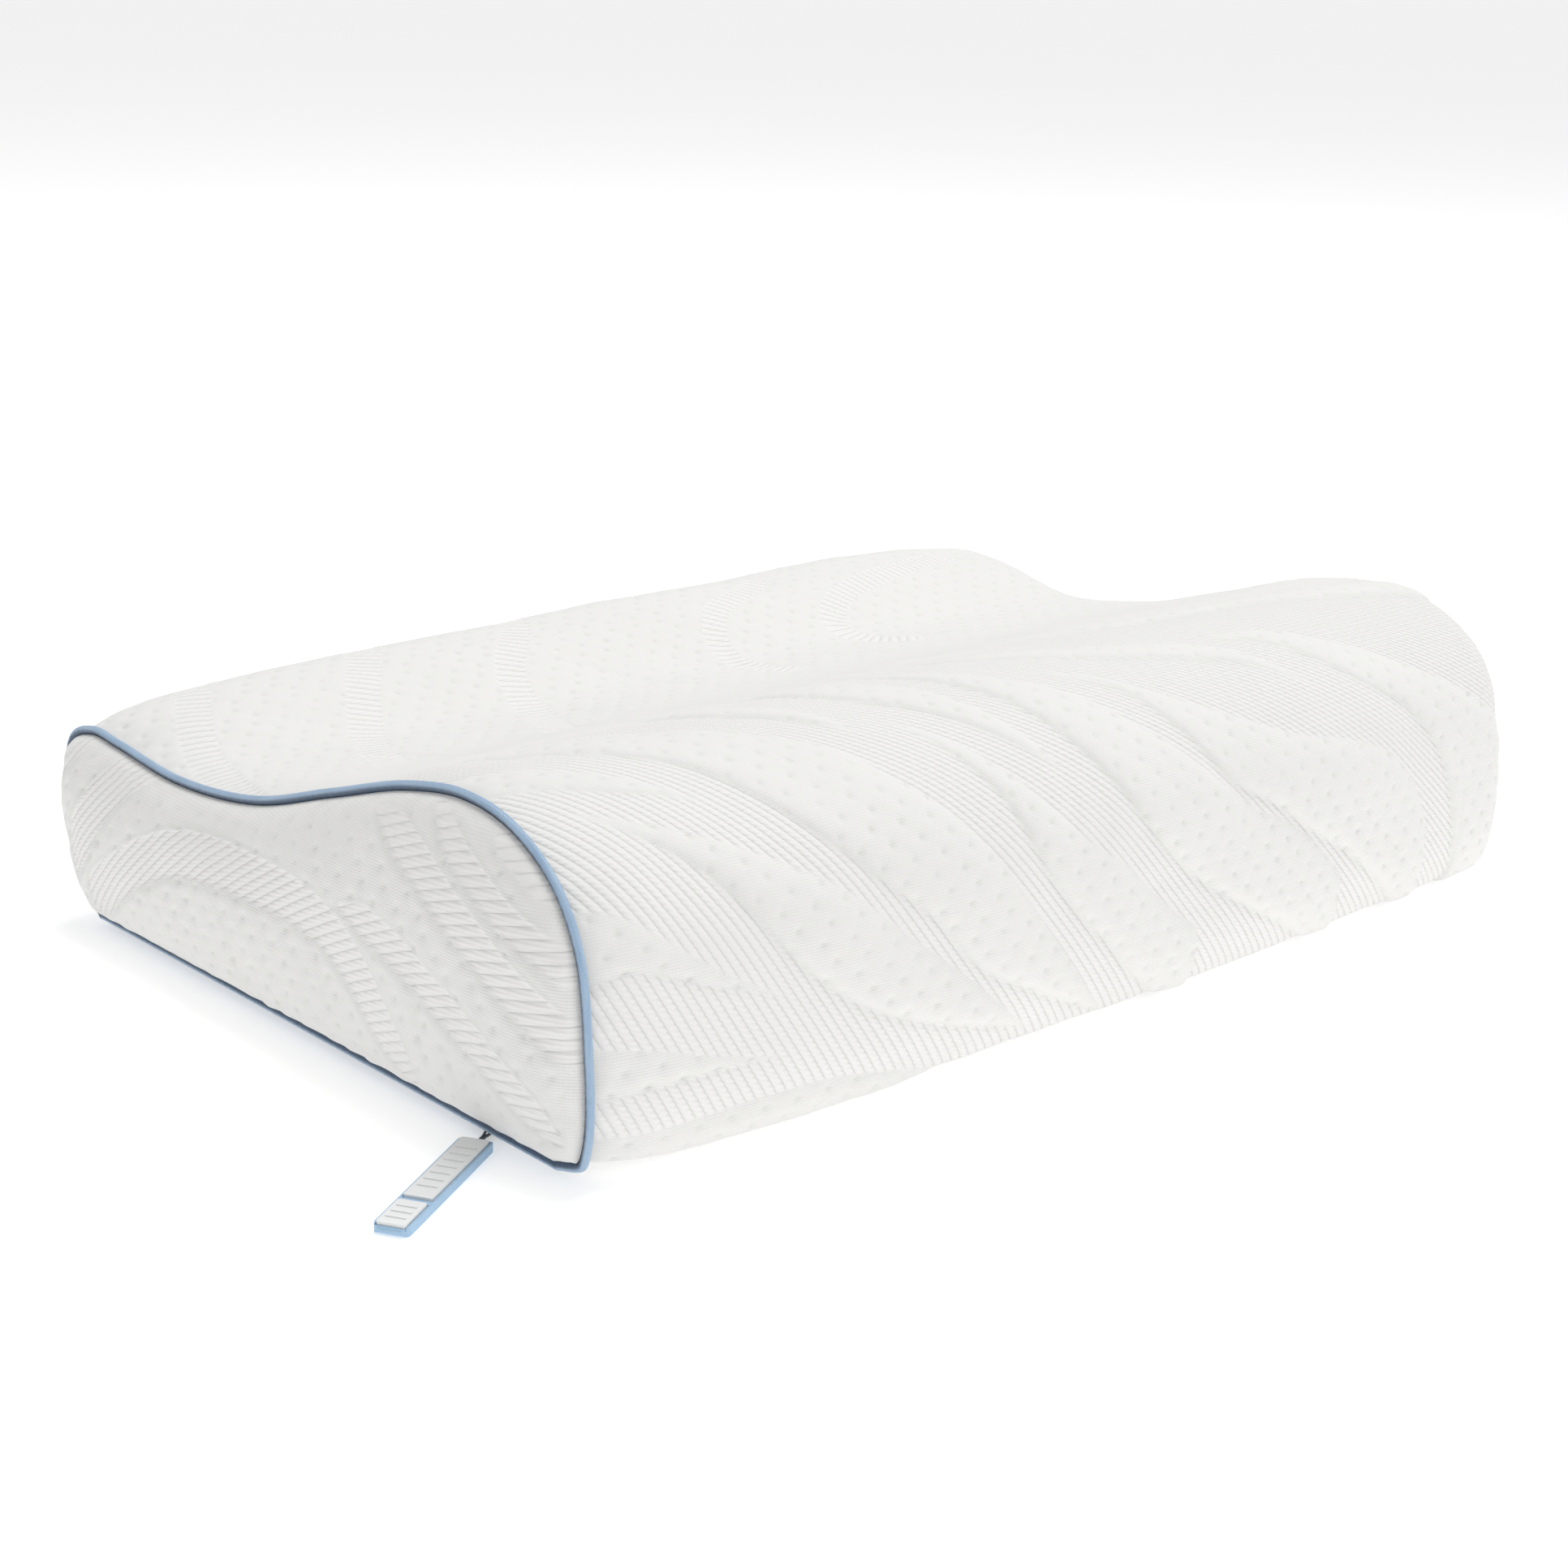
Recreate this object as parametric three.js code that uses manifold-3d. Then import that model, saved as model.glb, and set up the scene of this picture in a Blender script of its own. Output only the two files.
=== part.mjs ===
// Contour bed pillow: a foam core in a thin liner, inside a quilted knit cover. The cover is a wrap
// panel and two domed end panels, with piping in both end seams and a coil zip under the left one.
// Millimetres, +Z up. X runs along the pillow, the tall lobe faces -Y and the zip is at the -X end.
// The origin is on the table, below the middle of the cover.
import * as THREE from 'three';
import { mergeVertices } from 'three/addons/utils/BufferGeometryUtils.js';
import Module from 'manifold-3d';

const wasm = await Module();
wasm.setup();

// ---- driving dimensions ----
const LENGTH = 500; // between the two end seams
const FRONT_REACH = 157; // origin to the front face
const REAR_REACH = 186; // origin to the rear face
const FRONT_HEIGHT = 121; // crest of the tall lobe
const VALLEY_HEIGHT = 80.5;
const REAR_HEIGHT = 85; // crest of the low lobe
const FRONT_CREST_IN = 67; // front face to the front crest
const VALLEY_IN = 91; // rear face to the valley
const FRONT_BOW = 10; // how far the front stands out at mid-length
const REAR_SWELL = 10.8; // how far the low lobe swells up and back between its two seams
const SWELL_SKEW = 0.012; // more of it towards the right, for each mm
const END_BULGE = 13; // how far an end panel stands out of its seam
const SEAM_PULL = 5; // how deep a seam draws the cover in
const SEAM_REACH = 30; // how far from the seam that is felt
const UNDER_REACH = 45; // the same along the bottom of a seam
const RIGHT_OUT = 14; // how much further out the right seam lies than the left
const RIGHT_PULL = 18; // the right seam sits round the corner, so it is drawn in deeper
const RIGHT_UNDER_PULL = 15; // the same along the bottom
const RIGHT_REACH = 26;
const UNDER_ROOM = 0.4; // between the puller's link and the piping above it

const COVER_WALL = 3;
const LINER_WALL = 1;
const LAYER_GAP = 0.7; // between one layer and the next
const GAP = 0.3; // clearance between other pieces that touch

const PIPING_D = 3.6;
const PIPING_WALL = 0.45;
const CORD_FIT = 0.3; // radial room of the filler cord in its tape
const PIPING_SLIT = 0.6;

const ZIP_FRONT_IN = 65.3; // front face to the slider's middle, zip closed
const ZIP_REAR_IN = 37.7; // rear face to the slider's middle, zip open
const ZIP_ROOM = 0.95; // between the slider and the piping
const COIL_WIDTH = 2.2;
const COIL_HEIGHT = 2;
const COIL_PITCH = 8; // drawn coarse
const CHAIN_GAP = 1; // between the two rows of coil
const TAPE_THICK = 0.5;
const TAPE_WIDTH = 12; // cover side
const TAPE_TAIL = 4.7; // tape beyond an end stop
const STOP_LENGTH = 1.8;

const SLIDER_LENGTH = 11;
const SLIDER_LIP = 1.25; // wall beside the coils
const PLATE_THICK = 0.7;
const POST_WIDTH = 0.4;
const BRIDGE_BAR = 0.6;
const BRIDGE_SPAN = 7; // between the bridge's two feet
const BRIDGE_FOOT_R = 0.7;
const BRIDGE_FLOOR = 0.2; // bridge above the table

const LINK_WIRE = 0.9;
const LINK_THICK = 0.8;
const LINK_EYE_R = 1.75;
const LINK_TAPER = 9; // eye's centre to the end of its opening
const LINK_STEM = 1.6;
const PIN_R = 0.45;
const PIN_LENGTH = 5.5;
const PIN_ROOM = 0.3;

const PULL_HEADING = 210.5; // degrees, the way the puller points from the slider
const PULLER_CLEAR = 2; // between the puller's corner and the piping
const PULLER_LENGTH = 68.5;
const PULLER_WIDTH = 12.4;
const PULLER_THICK = 3;
const PULLER_CORNER = 3;
const PLATE_LENGTH_LONG = 45.5;
const PLATE_LENGTH_END = 16.5;
const PLATE_MARGIN = 1.2; // rubber left round the white plates
const PLATE_SPLIT = 3.2; // rubber between the two plates
const PLATE_SUNK = 0.8;
const PLATE_PROUD = 0.9;
const RIDGE_HEIGHT = 0.4;

// ---- solids ----

/** A mesh geometry as a solid for joining and cutting. */
function solid(geometry) {
  const bare = geometry.clone();
  bare.deleteAttribute('normal');
  bare.deleteAttribute('uv');
  const merged = mergeVertices(bare, 1e-4);
  return new wasm.Manifold(new wasm.Mesh({
    numProp: 3,
    vertProperties: new Float32Array(merged.attributes.position.array),
    triVerts: new Uint32Array(merged.index.array),
  }));
}

/** A solid back as a geometry. */
function geometryOf(manifold) {
  const mesh = manifold.getMesh();
  const geometry = new THREE.BufferGeometry();
  geometry.setAttribute('position', new THREE.BufferAttribute(mesh.vertProperties, 3));
  geometry.setIndex(new THREE.BufferAttribute(mesh.triVerts, 1));
  return geometry;
}

/** A box between two corners. */
function block(low, high) {
  const size = high.map((value, k) => value - low[k]);
  const middle = high.map((value, k) => (value + low[k]) / 2);
  return new THREE.BoxGeometry(...size).translate(...middle);
}

/** A flat outline given a thickness, from z upwards. */
function plate(shape, thickness, z, curveSegments = 5) {
  const options = { depth: thickness, bevelEnabled: false, curveSegments };
  return new THREE.ExtrudeGeometry(shape, options).translate(0, 0, z);
}

/** A rectangle with round corners, between two corners of its box. */
function roundedRectangle(x0, y0, x1, y1, r) {
  const shape = new THREE.Shape();
  shape.moveTo(x0 + r, y0);
  shape.lineTo(x1 - r, y0);
  shape.absarc(x1 - r, y0 + r, r, -Math.PI / 2, 0);
  shape.lineTo(x1, y1 - r);
  shape.absarc(x1 - r, y1 - r, r, 0, Math.PI / 2);
  shape.lineTo(x0 + r, y1);
  shape.absarc(x0 + r, y1 - r, r, Math.PI / 2, Math.PI);
  shape.lineTo(x0, y0 + r);
  shape.absarc(x0 + r, y0 + r, r, Math.PI, Math.PI * 1.5);
  return shape;
}

/** Twice the signed area of a ring of [x, y] points. */
function ringArea(ring) {
  return ring.reduce((sum, [x, y], k) => {
    const [nextX, nextY] = ring[(k + 1) % ring.length];
    return sum + x * nextY - nextX * y;
  }, 0);
}

/**
 * A closed skin through a row of rings, all with the same number of [x, y, z] points. A closed
 * row joins its last ring to its first; an open one is capped flat at both ends, across X.
 */
function loft(rings, closed) {
  const count = rings[0].length;
  const index = [];
  const steps = closed ? rings.length : rings.length - 1;
  for (let r = 0; r < steps; r += 1) {
    const a = r * count;
    const b = ((r + 1) % rings.length) * count;
    for (let k = 0; k < count; k += 1) {
      const n = (k + 1) % count;
      index.push(a + k, b + k, b + n, a + k, b + n, a + n);
    }
  }
  if (!closed) {
    index.push(...cap(rings[0], 0, true));
    index.push(...cap(rings[rings.length - 1], (rings.length - 1) * count, false));
  }
  const geometry = new THREE.BufferGeometry();
  geometry.setAttribute('position', new THREE.Float32BufferAttribute(rings.flat(2), 3));
  geometry.setIndex(index);
  return facingOut(geometry);
}

/** The triangles that fill one ring of a loft. */
function cap(ring, offset, isFirst) {
  const flat = ring.map(([, y, z]) => [y, z]);
  const outline = flat.map(([y, z]) => new THREE.Vector2(y, z));
  const turn = Math.sign(ringArea(flat)) * (isFirst ? 1 : -1);
  return THREE.ShapeUtils.triangulateShape(outline, []).flatMap((face) => {
    const way = Math.sign(ringArea(face.map((k) => flat[k])));
    const ordered = way === turn ? face : [...face].reverse();
    return ordered.map((k) => k + offset);
  });
}

/** Turns a closed skin's faces round if they point in. */
function facingOut(geometry) {
  const place = geometry.attributes.position;
  const index = geometry.index.array;
  const corner = [new THREE.Vector3(), new THREE.Vector3(), new THREE.Vector3()];
  let volume = 0;
  for (let k = 0; k < index.length; k += 3) {
    corner.forEach((point, n) => point.fromBufferAttribute(place, index[k + n]));
    volume += corner[0].dot(corner[1].clone().cross(corner[2]));
  }
  if (volume < 0) {
    for (let k = 0; k < index.length; k += 3) {
      [index[k], index[k + 1]] = [index[k + 1], index[k]];
    }
  }
  return geometry;
}

// ---- the pillow's outline, seen along X ----

const END_SEAM = LENGTH / 2;
const RIGHT_SEAM = END_SEAM + RIGHT_OUT;
const SHOULDER_TURN = 0.9; // share of a quarter round that the right shoulder makes

/** Where an end seam lies along X. side is -1 or 1. */
function seamX(side) {
  return side > 0 ? RIGHT_SEAM : -END_SEAM;
}
const BAR_TOP = BRIDGE_FLOOR + BRIDGE_BAR;
const LINK_Z = BAR_TOP + GAP;
const UNDER_PULL = LINK_Z + LINK_THICK + UNDER_ROOM + PIPING_D + GAP; // lets the link pass below
const FRONT = -FRONT_REACH;
const CREST_Y = FRONT + FRONT_CREST_IN;
const VALLEY_Y = REAR_REACH - VALLEY_IN;

/** Corner points from the flat bottom up the front, over the two lobes and down the rear. */
function outlinePoints() {
  const drop = FRONT_HEIGHT - VALLEY_HEIGHT;
  const slope = [[0.18, 0.12], [0.43, 0.47], [0.71, 0.86]];
  return [
    [FRONT + 18, 0],
    [FRONT + 5, 5],
    [FRONT, 18],
    [FRONT, 0.4 * FRONT_HEIGHT],
    [FRONT + 5, 0.68 * FRONT_HEIGHT],
    [FRONT + 18, 0.85 * FRONT_HEIGHT],
    [FRONT + 41, 0.965 * FRONT_HEIGHT],
    [CREST_Y, FRONT_HEIGHT],
    ...slope.map(([t, fall]) => [CREST_Y + t * (VALLEY_Y - CREST_Y), FRONT_HEIGHT - fall * drop]),
    [VALLEY_Y, VALLEY_HEIGHT],
    [REAR_REACH - 46, REAR_HEIGHT - 1],
    [REAR_REACH - 26, REAR_HEIGHT],
    [REAR_REACH - 8, 0.92 * REAR_HEIGHT],
    [REAR_REACH, 0.7 * REAR_HEIGHT],
    [REAR_REACH - 2, 0.45 * REAR_HEIGHT],
    [REAR_REACH - 10, 0.16 * REAR_HEIGHT],
    [REAR_REACH - 24, 0],
  ];
}

/** The outline as evenly spaced points, with the flat bottom last. */
function outline() {
  const upperSteps = 34;
  const bottomSteps = 6;
  const corners = outlinePoints().map(([y, z]) => new THREE.Vector3(0, y, z));
  const curve = new THREE.CatmullRomCurve3(corners, false, 'centripetal');
  const points = curve.getSpacedPoints(upperSteps).map((p) => [p.y, Math.max(p.z, 0)]);
  const [start, end] = [points[0][0], points[upperSteps][0]];
  for (let k = 1; k < bottomSteps; k += 1) {
    points.push([THREE.MathUtils.lerp(end, start, k / bottomSteps), 0]);
  }
  return points;
}

/** For each outline point, the outward direction whose length keeps parallel walls even. */
function outwardMiters(points) {
  const normalOf = (a, b) => {
    const edge = new THREE.Vector2(b[0] - a[0], b[1] - a[1]).normalize();
    return new THREE.Vector2(-edge.y, edge.x);
  };
  return points.map((point, k) => {
    const before = normalOf(points[(k + points.length - 1) % points.length], point);
    const after = normalOf(point, points[(k + 1) % points.length]);
    const middle = before.clone().add(after).normalize();
    return middle.divideScalar(middle.dot(after));
  });
}

const OUTLINE = outline();
const MITERS = outwardMiters(OUTLINE);
const UNDER = MITERS.map((m) => THREE.MathUtils.smoothstep(-m.y, 0.5, 0.95));

/** How deep a seam draws outline point k in, at a distance from it: a round shoulder on the right. */
function seamPull(k, distance, side) {
  if (side > 0) {
    const depth = THREE.MathUtils.lerp(RIGHT_PULL, RIGHT_UNDER_PULL, UNDER[k]);
    const turn = SHOULDER_TURN * Math.max(0, 1 - distance / RIGHT_REACH);
    const fall = (part) => 1 - Math.sqrt(1 - part ** 2);
    return (depth * fall(turn)) / fall(SHOULDER_TURN);
  }
  const depth = THREE.MathUtils.lerp(SEAM_PULL, UNDER_PULL, UNDER[k]);
  const reach = THREE.MathUtils.lerp(SEAM_REACH, UNDER_REACH, UNDER[k]);
  return depth * Math.max(0, 1 - distance / reach) ** 2;
}

/** The front stands out in a shallow bow along the pillow. */
function bow(x, y) {
  const along = Math.max(0, 1 - (x / END_SEAM) ** 2);
  return y - FRONT_BOW * along * THREE.MathUtils.smoothstep(-y, 0.35 * FRONT_REACH, FRONT_REACH);
}

/** How far the low lobe stands out of the outline at point k: nothing at the seams and the bottom. */
function swell(k, x) {
  const [y, z] = OUTLINE[k];
  const middle = RIGHT_OUT / 2;
  const along = Math.max(0, 1 - ((x - middle) / (END_SEAM + middle)) ** 6);
  const onLobe = THREE.MathUtils.smoothstep(y, VALLEY_Y - 10, REAR_REACH - 40)
    * THREE.MathUtils.smoothstep(z, 5, 45);
  return (REAR_SWELL + SWELL_SKEW * x) * along * onLobe;
}

/** The line inside an end panel that its dome closes towards, for outline point k. */
function spine(k) {
  const fromEdge = 45;
  const y = THREE.MathUtils.clamp(OUTLINE[k][0], FRONT + fromEdge, REAR_REACH - fromEdge);
  const lean = THREE.MathUtils.smoothstep(y, CREST_Y, VALLEY_Y);
  return [y, THREE.MathUtils.lerp(FRONT_HEIGHT / 2, VALLEY_HEIGHT / 2, lean)];
}

/** One section of a layer that lies inset below the cover's outside. */
function section(x, inset) {
  const side = Math.sign(x);
  const distance = Math.max(0, Math.abs(seamX(side) - x));
  return OUTLINE.map(([y, z], k) => {
    const depth = inset + seamPull(k, distance, side) - swell(k, x);
    return [x, bow(x, y - MITERS[k].x * depth), z - MITERS[k].y * depth];
  });
}

/** The rings of one domed end, from its rim to its flat middle. side is -1 or 1 along X. */
function domeRings(side, inset, rimGap) {
  const rim = section(seamX(side), inset);
  return DOME_STEPS.map((share) => {
    const rise = Math.sqrt(1 - (1 - share) ** 2);
    const x = seamX(side) + side * (rimGap + (END_BULGE - inset) * rise);
    return rim.map(([, y, z], k) => {
      const [spineY, spineZ] = spine(k);
      return [x, THREE.MathUtils.lerp(y, spineY, share), THREE.MathUtils.lerp(z, spineZ, share)];
    });
  });
}

// ---- layers ----

const SEAM_STEPS = [0, 9, 26, 45, 130];
const SHOULDER_STEPS = [0, 2, 5, 9, 14, 20, 26, 34, 44, 60, 85, 150];
const DOME_STEPS = [0, 0.12, 0.35, 0.65]; // shares of the way from the rim to the spine

/** Where the sections of a wrapped layer stand along X, close together near the seams. */
function stations(rimGap) {
  const left = SEAM_STEPS.map((step) => seamX(-1) + Math.max(step, rimGap));
  const right = SHOULDER_STEPS.map((step) => seamX(1) - Math.max(step, rimGap));
  return [...left, 0, ...right.reverse()];
}

/** A sleeve of even wall round the pillow, open at both ends. */
function sleeve(inset, wall) {
  const along = stations(GAP);
  const outside = along.map((x) => section(x, inset));
  const inside = [...along].reverse().map((x) => section(x, inset + wall));
  return loft([...outside, ...inside], true);
}

/** A domed end panel of even wall. */
function endPanel(side, inset, wall) {
  const outside = domeRings(side, inset, GAP);
  const inside = domeRings(side, inset + wall, GAP);
  return loft([...outside.reverse(), ...inside], false);
}

/** The moulded foam block, domed at both ends. */
function foamCore() {
  const inset = COVER_WALL + LINER_WALL + 2 * LAYER_GAP;
  const left = domeRings(-1, inset, 0).reverse();
  const right = domeRings(1, inset, 0);
  const middle = stations(0).slice(1, -1).map((x) => section(x, inset));
  return loft([...left, ...middle, ...right], false);
}

// ---- piping ----

/** A section carried round an end seam. profile holds [across the seam, outwards] points. */
function roundSeam(side, profile) {
  const radius = PIPING_D / 2;
  const middle = seamX(side) + (side > 0 ? radius : 0); // beside the right shoulder's edge
  const rings = OUTLINE.map(([y, z], k) => {
    const inset = seamPull(k, 0, side) - GAP - radius;
    return profile.map(([across, outwards]) => [
      middle + across,
      y + MITERS[k].x * (outwards - inset),
      z + MITERS[k].y * (outwards - inset),
    ]);
  });
  return loft(rings, true);
}

/** The satin strip folded round the cord, open along the side that is sewn in. */
function pipingTape(side) {
  const outer = PIPING_D / 2;
  const inner = outer - PIPING_WALL;
  const steps = 7;
  const open = Math.asin(PIPING_SLIT / 2 / inner);
  const arc = (radius, from, to) => Array.from({ length: steps + 1 }, (_, k) => {
    const angle = THREE.MathUtils.lerp(from, to, k / steps) - Math.PI / 2;
    return [radius * Math.cos(angle), radius * Math.sin(angle)];
  });
  const turn = 2 * Math.PI - open;
  return roundSeam(side, [...arc(outer, open, turn), ...arc(inner, turn, open)]);
}

/** The filler cord inside the strip. */
function pipingCord(side) {
  const sides = 6;
  const radius = PIPING_D / 2 - PIPING_WALL - CORD_FIT;
  const angles = Array.from({ length: sides }, (_, k) => (2 * Math.PI * k) / sides);
  return roundSeam(side, angles.map((a) => [radius * Math.cos(a), radius * Math.sin(a)]));
}

// ---- zip, under the left end seam ----

const COIL_IN = CHAIN_GAP / 2;
const COIL_OUT = COIL_IN + COIL_WIDTH;
const SLIDER_HALF = COIL_OUT + GAP + SLIDER_LIP;
const ZIP_IN = PIPING_D / 2 + ZIP_ROOM + SLIDER_HALF; // end seam to the middle of the zip
const ZIP_X = -END_SEAM + ZIP_IN;
const ZIP_CLOSED_Y = FRONT + ZIP_FRONT_IN;
const ZIP_TRAVEL = REAR_REACH - ZIP_REAR_IN - ZIP_CLOSED_Y;
const LOWER_PLATE_Z = LINK_Z + LINK_THICK + GAP;
const COIL_Z = LOWER_PLATE_Z + PLATE_THICK + GAP;
const UPPER_PLATE_Z = COIL_Z + COIL_HEIGHT + GAP;
const TAPE_Z = COIL_Z + (COIL_HEIGHT - TAPE_THICK) / 2;
const CHAIN_FRONT = ZIP_CLOSED_Y - SLIDER_LENGTH / 2;
const CHAIN_REAR = ZIP_CLOSED_Y + ZIP_TRAVEL + SLIDER_LENGTH / 2;
const TAPE_FRONT = CHAIN_FRONT - GAP - STOP_LENGTH - TAPE_TAIL;
const TAPE_REAR = CHAIN_REAR + GAP + STOP_LENGTH + TAPE_TAIL;
const TAPE_COVER_END = ZIP_X + COIL_OUT + GAP + TAPE_WIDTH;
const TAPE_PANEL_END = -END_SEAM + PIPING_D / 2 + GAP;

/** The tape sewn to the wrap panel. */
function coverTape() {
  const start = ZIP_X + COIL_OUT + GAP;
  return block([start, TAPE_FRONT, TAPE_Z], [TAPE_COVER_END, TAPE_REAR, TAPE_Z + TAPE_THICK]);
}

/** The tape sewn into the end seam. */
function panelTape() {
  const end = ZIP_X - COIL_OUT - GAP;
  return block([TAPE_PANEL_END, TAPE_FRONT, TAPE_Z], [end, TAPE_REAR, TAPE_Z + TAPE_THICK]);
}

/** One row of the coil, as a bar with a notch between every two turns. side is -1 or 1. */
function coil(side) {
  const notch = 0.3 * COIL_PITCH;
  const depth = 0.35 * COIL_WIDTH;
  const turns = Math.floor((CHAIN_REAR - CHAIN_FRONT) / COIL_PITCH);
  const shape = new THREE.Shape();
  shape.moveTo(ZIP_X + side * COIL_OUT, CHAIN_FRONT);
  for (let k = 0; k < turns; k += 1) {
    const y = CHAIN_FRONT + k * COIL_PITCH;
    shape.lineTo(ZIP_X + side * COIL_IN, y);
    shape.lineTo(ZIP_X + side * COIL_IN, y + COIL_PITCH - notch);
    shape.lineTo(ZIP_X + side * (COIL_IN + depth), y + COIL_PITCH - notch);
    shape.lineTo(ZIP_X + side * (COIL_IN + depth), y + COIL_PITCH);
  }
  shape.lineTo(ZIP_X + side * COIL_OUT, CHAIN_FRONT + turns * COIL_PITCH);
  return plate(shape, COIL_HEIGHT, COIL_Z);
}

/** A metal stop clamped over both rows, from y to the rear of it. */
function endStop(y) {
  const margin = 0.2;
  const low = [ZIP_X - COIL_OUT, y, COIL_Z - margin];
  const high = [ZIP_X + COIL_OUT, y + STOP_LENGTH, COIL_Z + COIL_HEIGHT + margin];
  return block(low, high);
}

/** The slider: two plates joined by a post, side lips over the tape, and the puller's bridge. */
function sliderBody() {
  const front = ZIP_CLOSED_Y - SLIDER_LENGTH / 2;
  const [left, right] = [ZIP_X - SLIDER_HALF, ZIP_X + SLIDER_HALF];
  const outlineShape = roundedRectangle(left, front, right, front + SLIDER_LENGTH, 1.6);
  const bite = 0.1; // joined pieces share this much
  const lipIn = COIL_OUT + GAP;
  const lipLength = SLIDER_LENGTH - 3.6;
  const lipFront = ZIP_CLOSED_Y - lipLength / 2;
  const lips = [-1, 1].flatMap((side) => {
    const edges = [ZIP_X + side * lipIn, ZIP_X + side * SLIDER_HALF];
    const [x0, x1] = [Math.min(...edges), Math.max(...edges)];
    const box = (z0, z1) => block([x0, lipFront, z0], [x1, lipFront + lipLength, z1]);
    return [
      box(LOWER_PLATE_Z + bite, TAPE_Z - GAP),
      box(TAPE_Z + TAPE_THICK + GAP, UPPER_PLATE_Z + bite),
    ];
  });
  const post = block(
    [ZIP_X - POST_WIDTH / 2, front + 0.5, LOWER_PLATE_Z + bite],
    [ZIP_X + POST_WIDTH / 2, front + 3.5, UPPER_PLATE_Z + bite],
  );
  const feet = [0, BRIDGE_SPAN].map((along) => {
    const height = LOWER_PLATE_Z + bite - BRIDGE_FLOOR;
    const foot = new THREE.CylinderGeometry(BRIDGE_FOOT_R, BRIDGE_FOOT_R, height, 12);
    foot.rotateX(Math.PI / 2);
    return foot.translate(ZIP_X, PIVOT_Y + along, BRIDGE_FLOOR + height / 2);
  });
  const bar = block(
    [ZIP_X - BRIDGE_FOOT_R, PIVOT_Y, BRIDGE_FLOOR],
    [ZIP_X + BRIDGE_FOOT_R, PIVOT_Y + BRIDGE_SPAN, BAR_TOP],
  );
  const pieces = [
    plate(outlineShape, PLATE_THICK, UPPER_PLATE_Z), post, bar, ...feet, ...lips,
  ];
  const start = solid(plate(outlineShape, PLATE_THICK, LOWER_PLATE_Z));
  return geometryOf(pieces.reduce((whole, piece) => whole.add(solid(piece)), start));
}

// ---- link and puller, drawn along +X from the bridge foot that the link swings on ----

const PIVOT_Y = ZIP_CLOSED_Y - BRIDGE_SPAN / 2;
const HEADING = THREE.MathUtils.degToRad(PULL_HEADING);
const CORNER_REACH = (PULLER_WIDTH / 2 - PULLER_CORNER) * Math.abs(Math.sin(HEADING))
  + PULLER_CORNER * (1 - Math.abs(Math.cos(HEADING)));
// bridge foot to the puller's near end, far enough for its corner to clear the piping
const PULLER_START = (ZIP_IN + PIPING_D / 2 + PULLER_CLEAR + CORNER_REACH)
  / Math.abs(Math.cos(HEADING));
const PIN_X = PULLER_START + PULLER_THICK / 2;
const PIN_Z = LINK_Z + LINK_THICK / 2;
const BASE_Z = PIN_Z - PULLER_THICK / 2;

/** A drop: a circle at the origin drawn out by straight sides to a small round at x = reach. */
function drop(radius, tipRadius, reach, DropClass) {
  const lean = Math.asin((radius - tipRadius) / reach);
  const angle = Math.PI / 2 - lean;
  const path = new DropClass();
  path.absarc(0, 0, radius, angle, 2 * Math.PI - angle);
  path.absarc(reach, 0, tipRadius, -angle, angle);
  path.closePath();
  return path;
}

/** The wire link: an open drop round the bridge's foot, with a cross pin at its far end. */
function pullerLink() {
  const shape = drop(LINK_EYE_R + LINK_WIRE, LINK_STEM / 2, LINK_TAPER + LINK_WIRE, THREE.Shape);
  shape.holes.push(drop(LINK_EYE_R, LINK_WIRE / 3, LINK_TAPER, THREE.Path));
  const stem = block(
    [LINK_TAPER + LINK_WIRE, -LINK_STEM / 2, LINK_Z],
    [PIN_X, LINK_STEM / 2, LINK_Z + LINK_THICK],
  );
  const pin = new THREE.CylinderGeometry(PIN_R, PIN_R, PIN_LENGTH, 12).translate(PIN_X, 0, PIN_Z);
  return geometryOf(solid(plate(shape, LINK_THICK, LINK_Z, 8)).add(solid(stem)).add(solid(pin)));
}

const PLATE_HALF = PULLER_WIDTH / 2 - PLATE_MARGIN;
const LONG_PLATE_X = PULLER_START + PLATE_MARGIN + PIN_R + 2 * PIN_ROOM;
const END_PLATE_X = LONG_PLATE_X + PLATE_LENGTH_LONG + PLATE_SPLIT;
const PLATE_Z = BASE_Z + PULLER_THICK - PLATE_SUNK;

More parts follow.
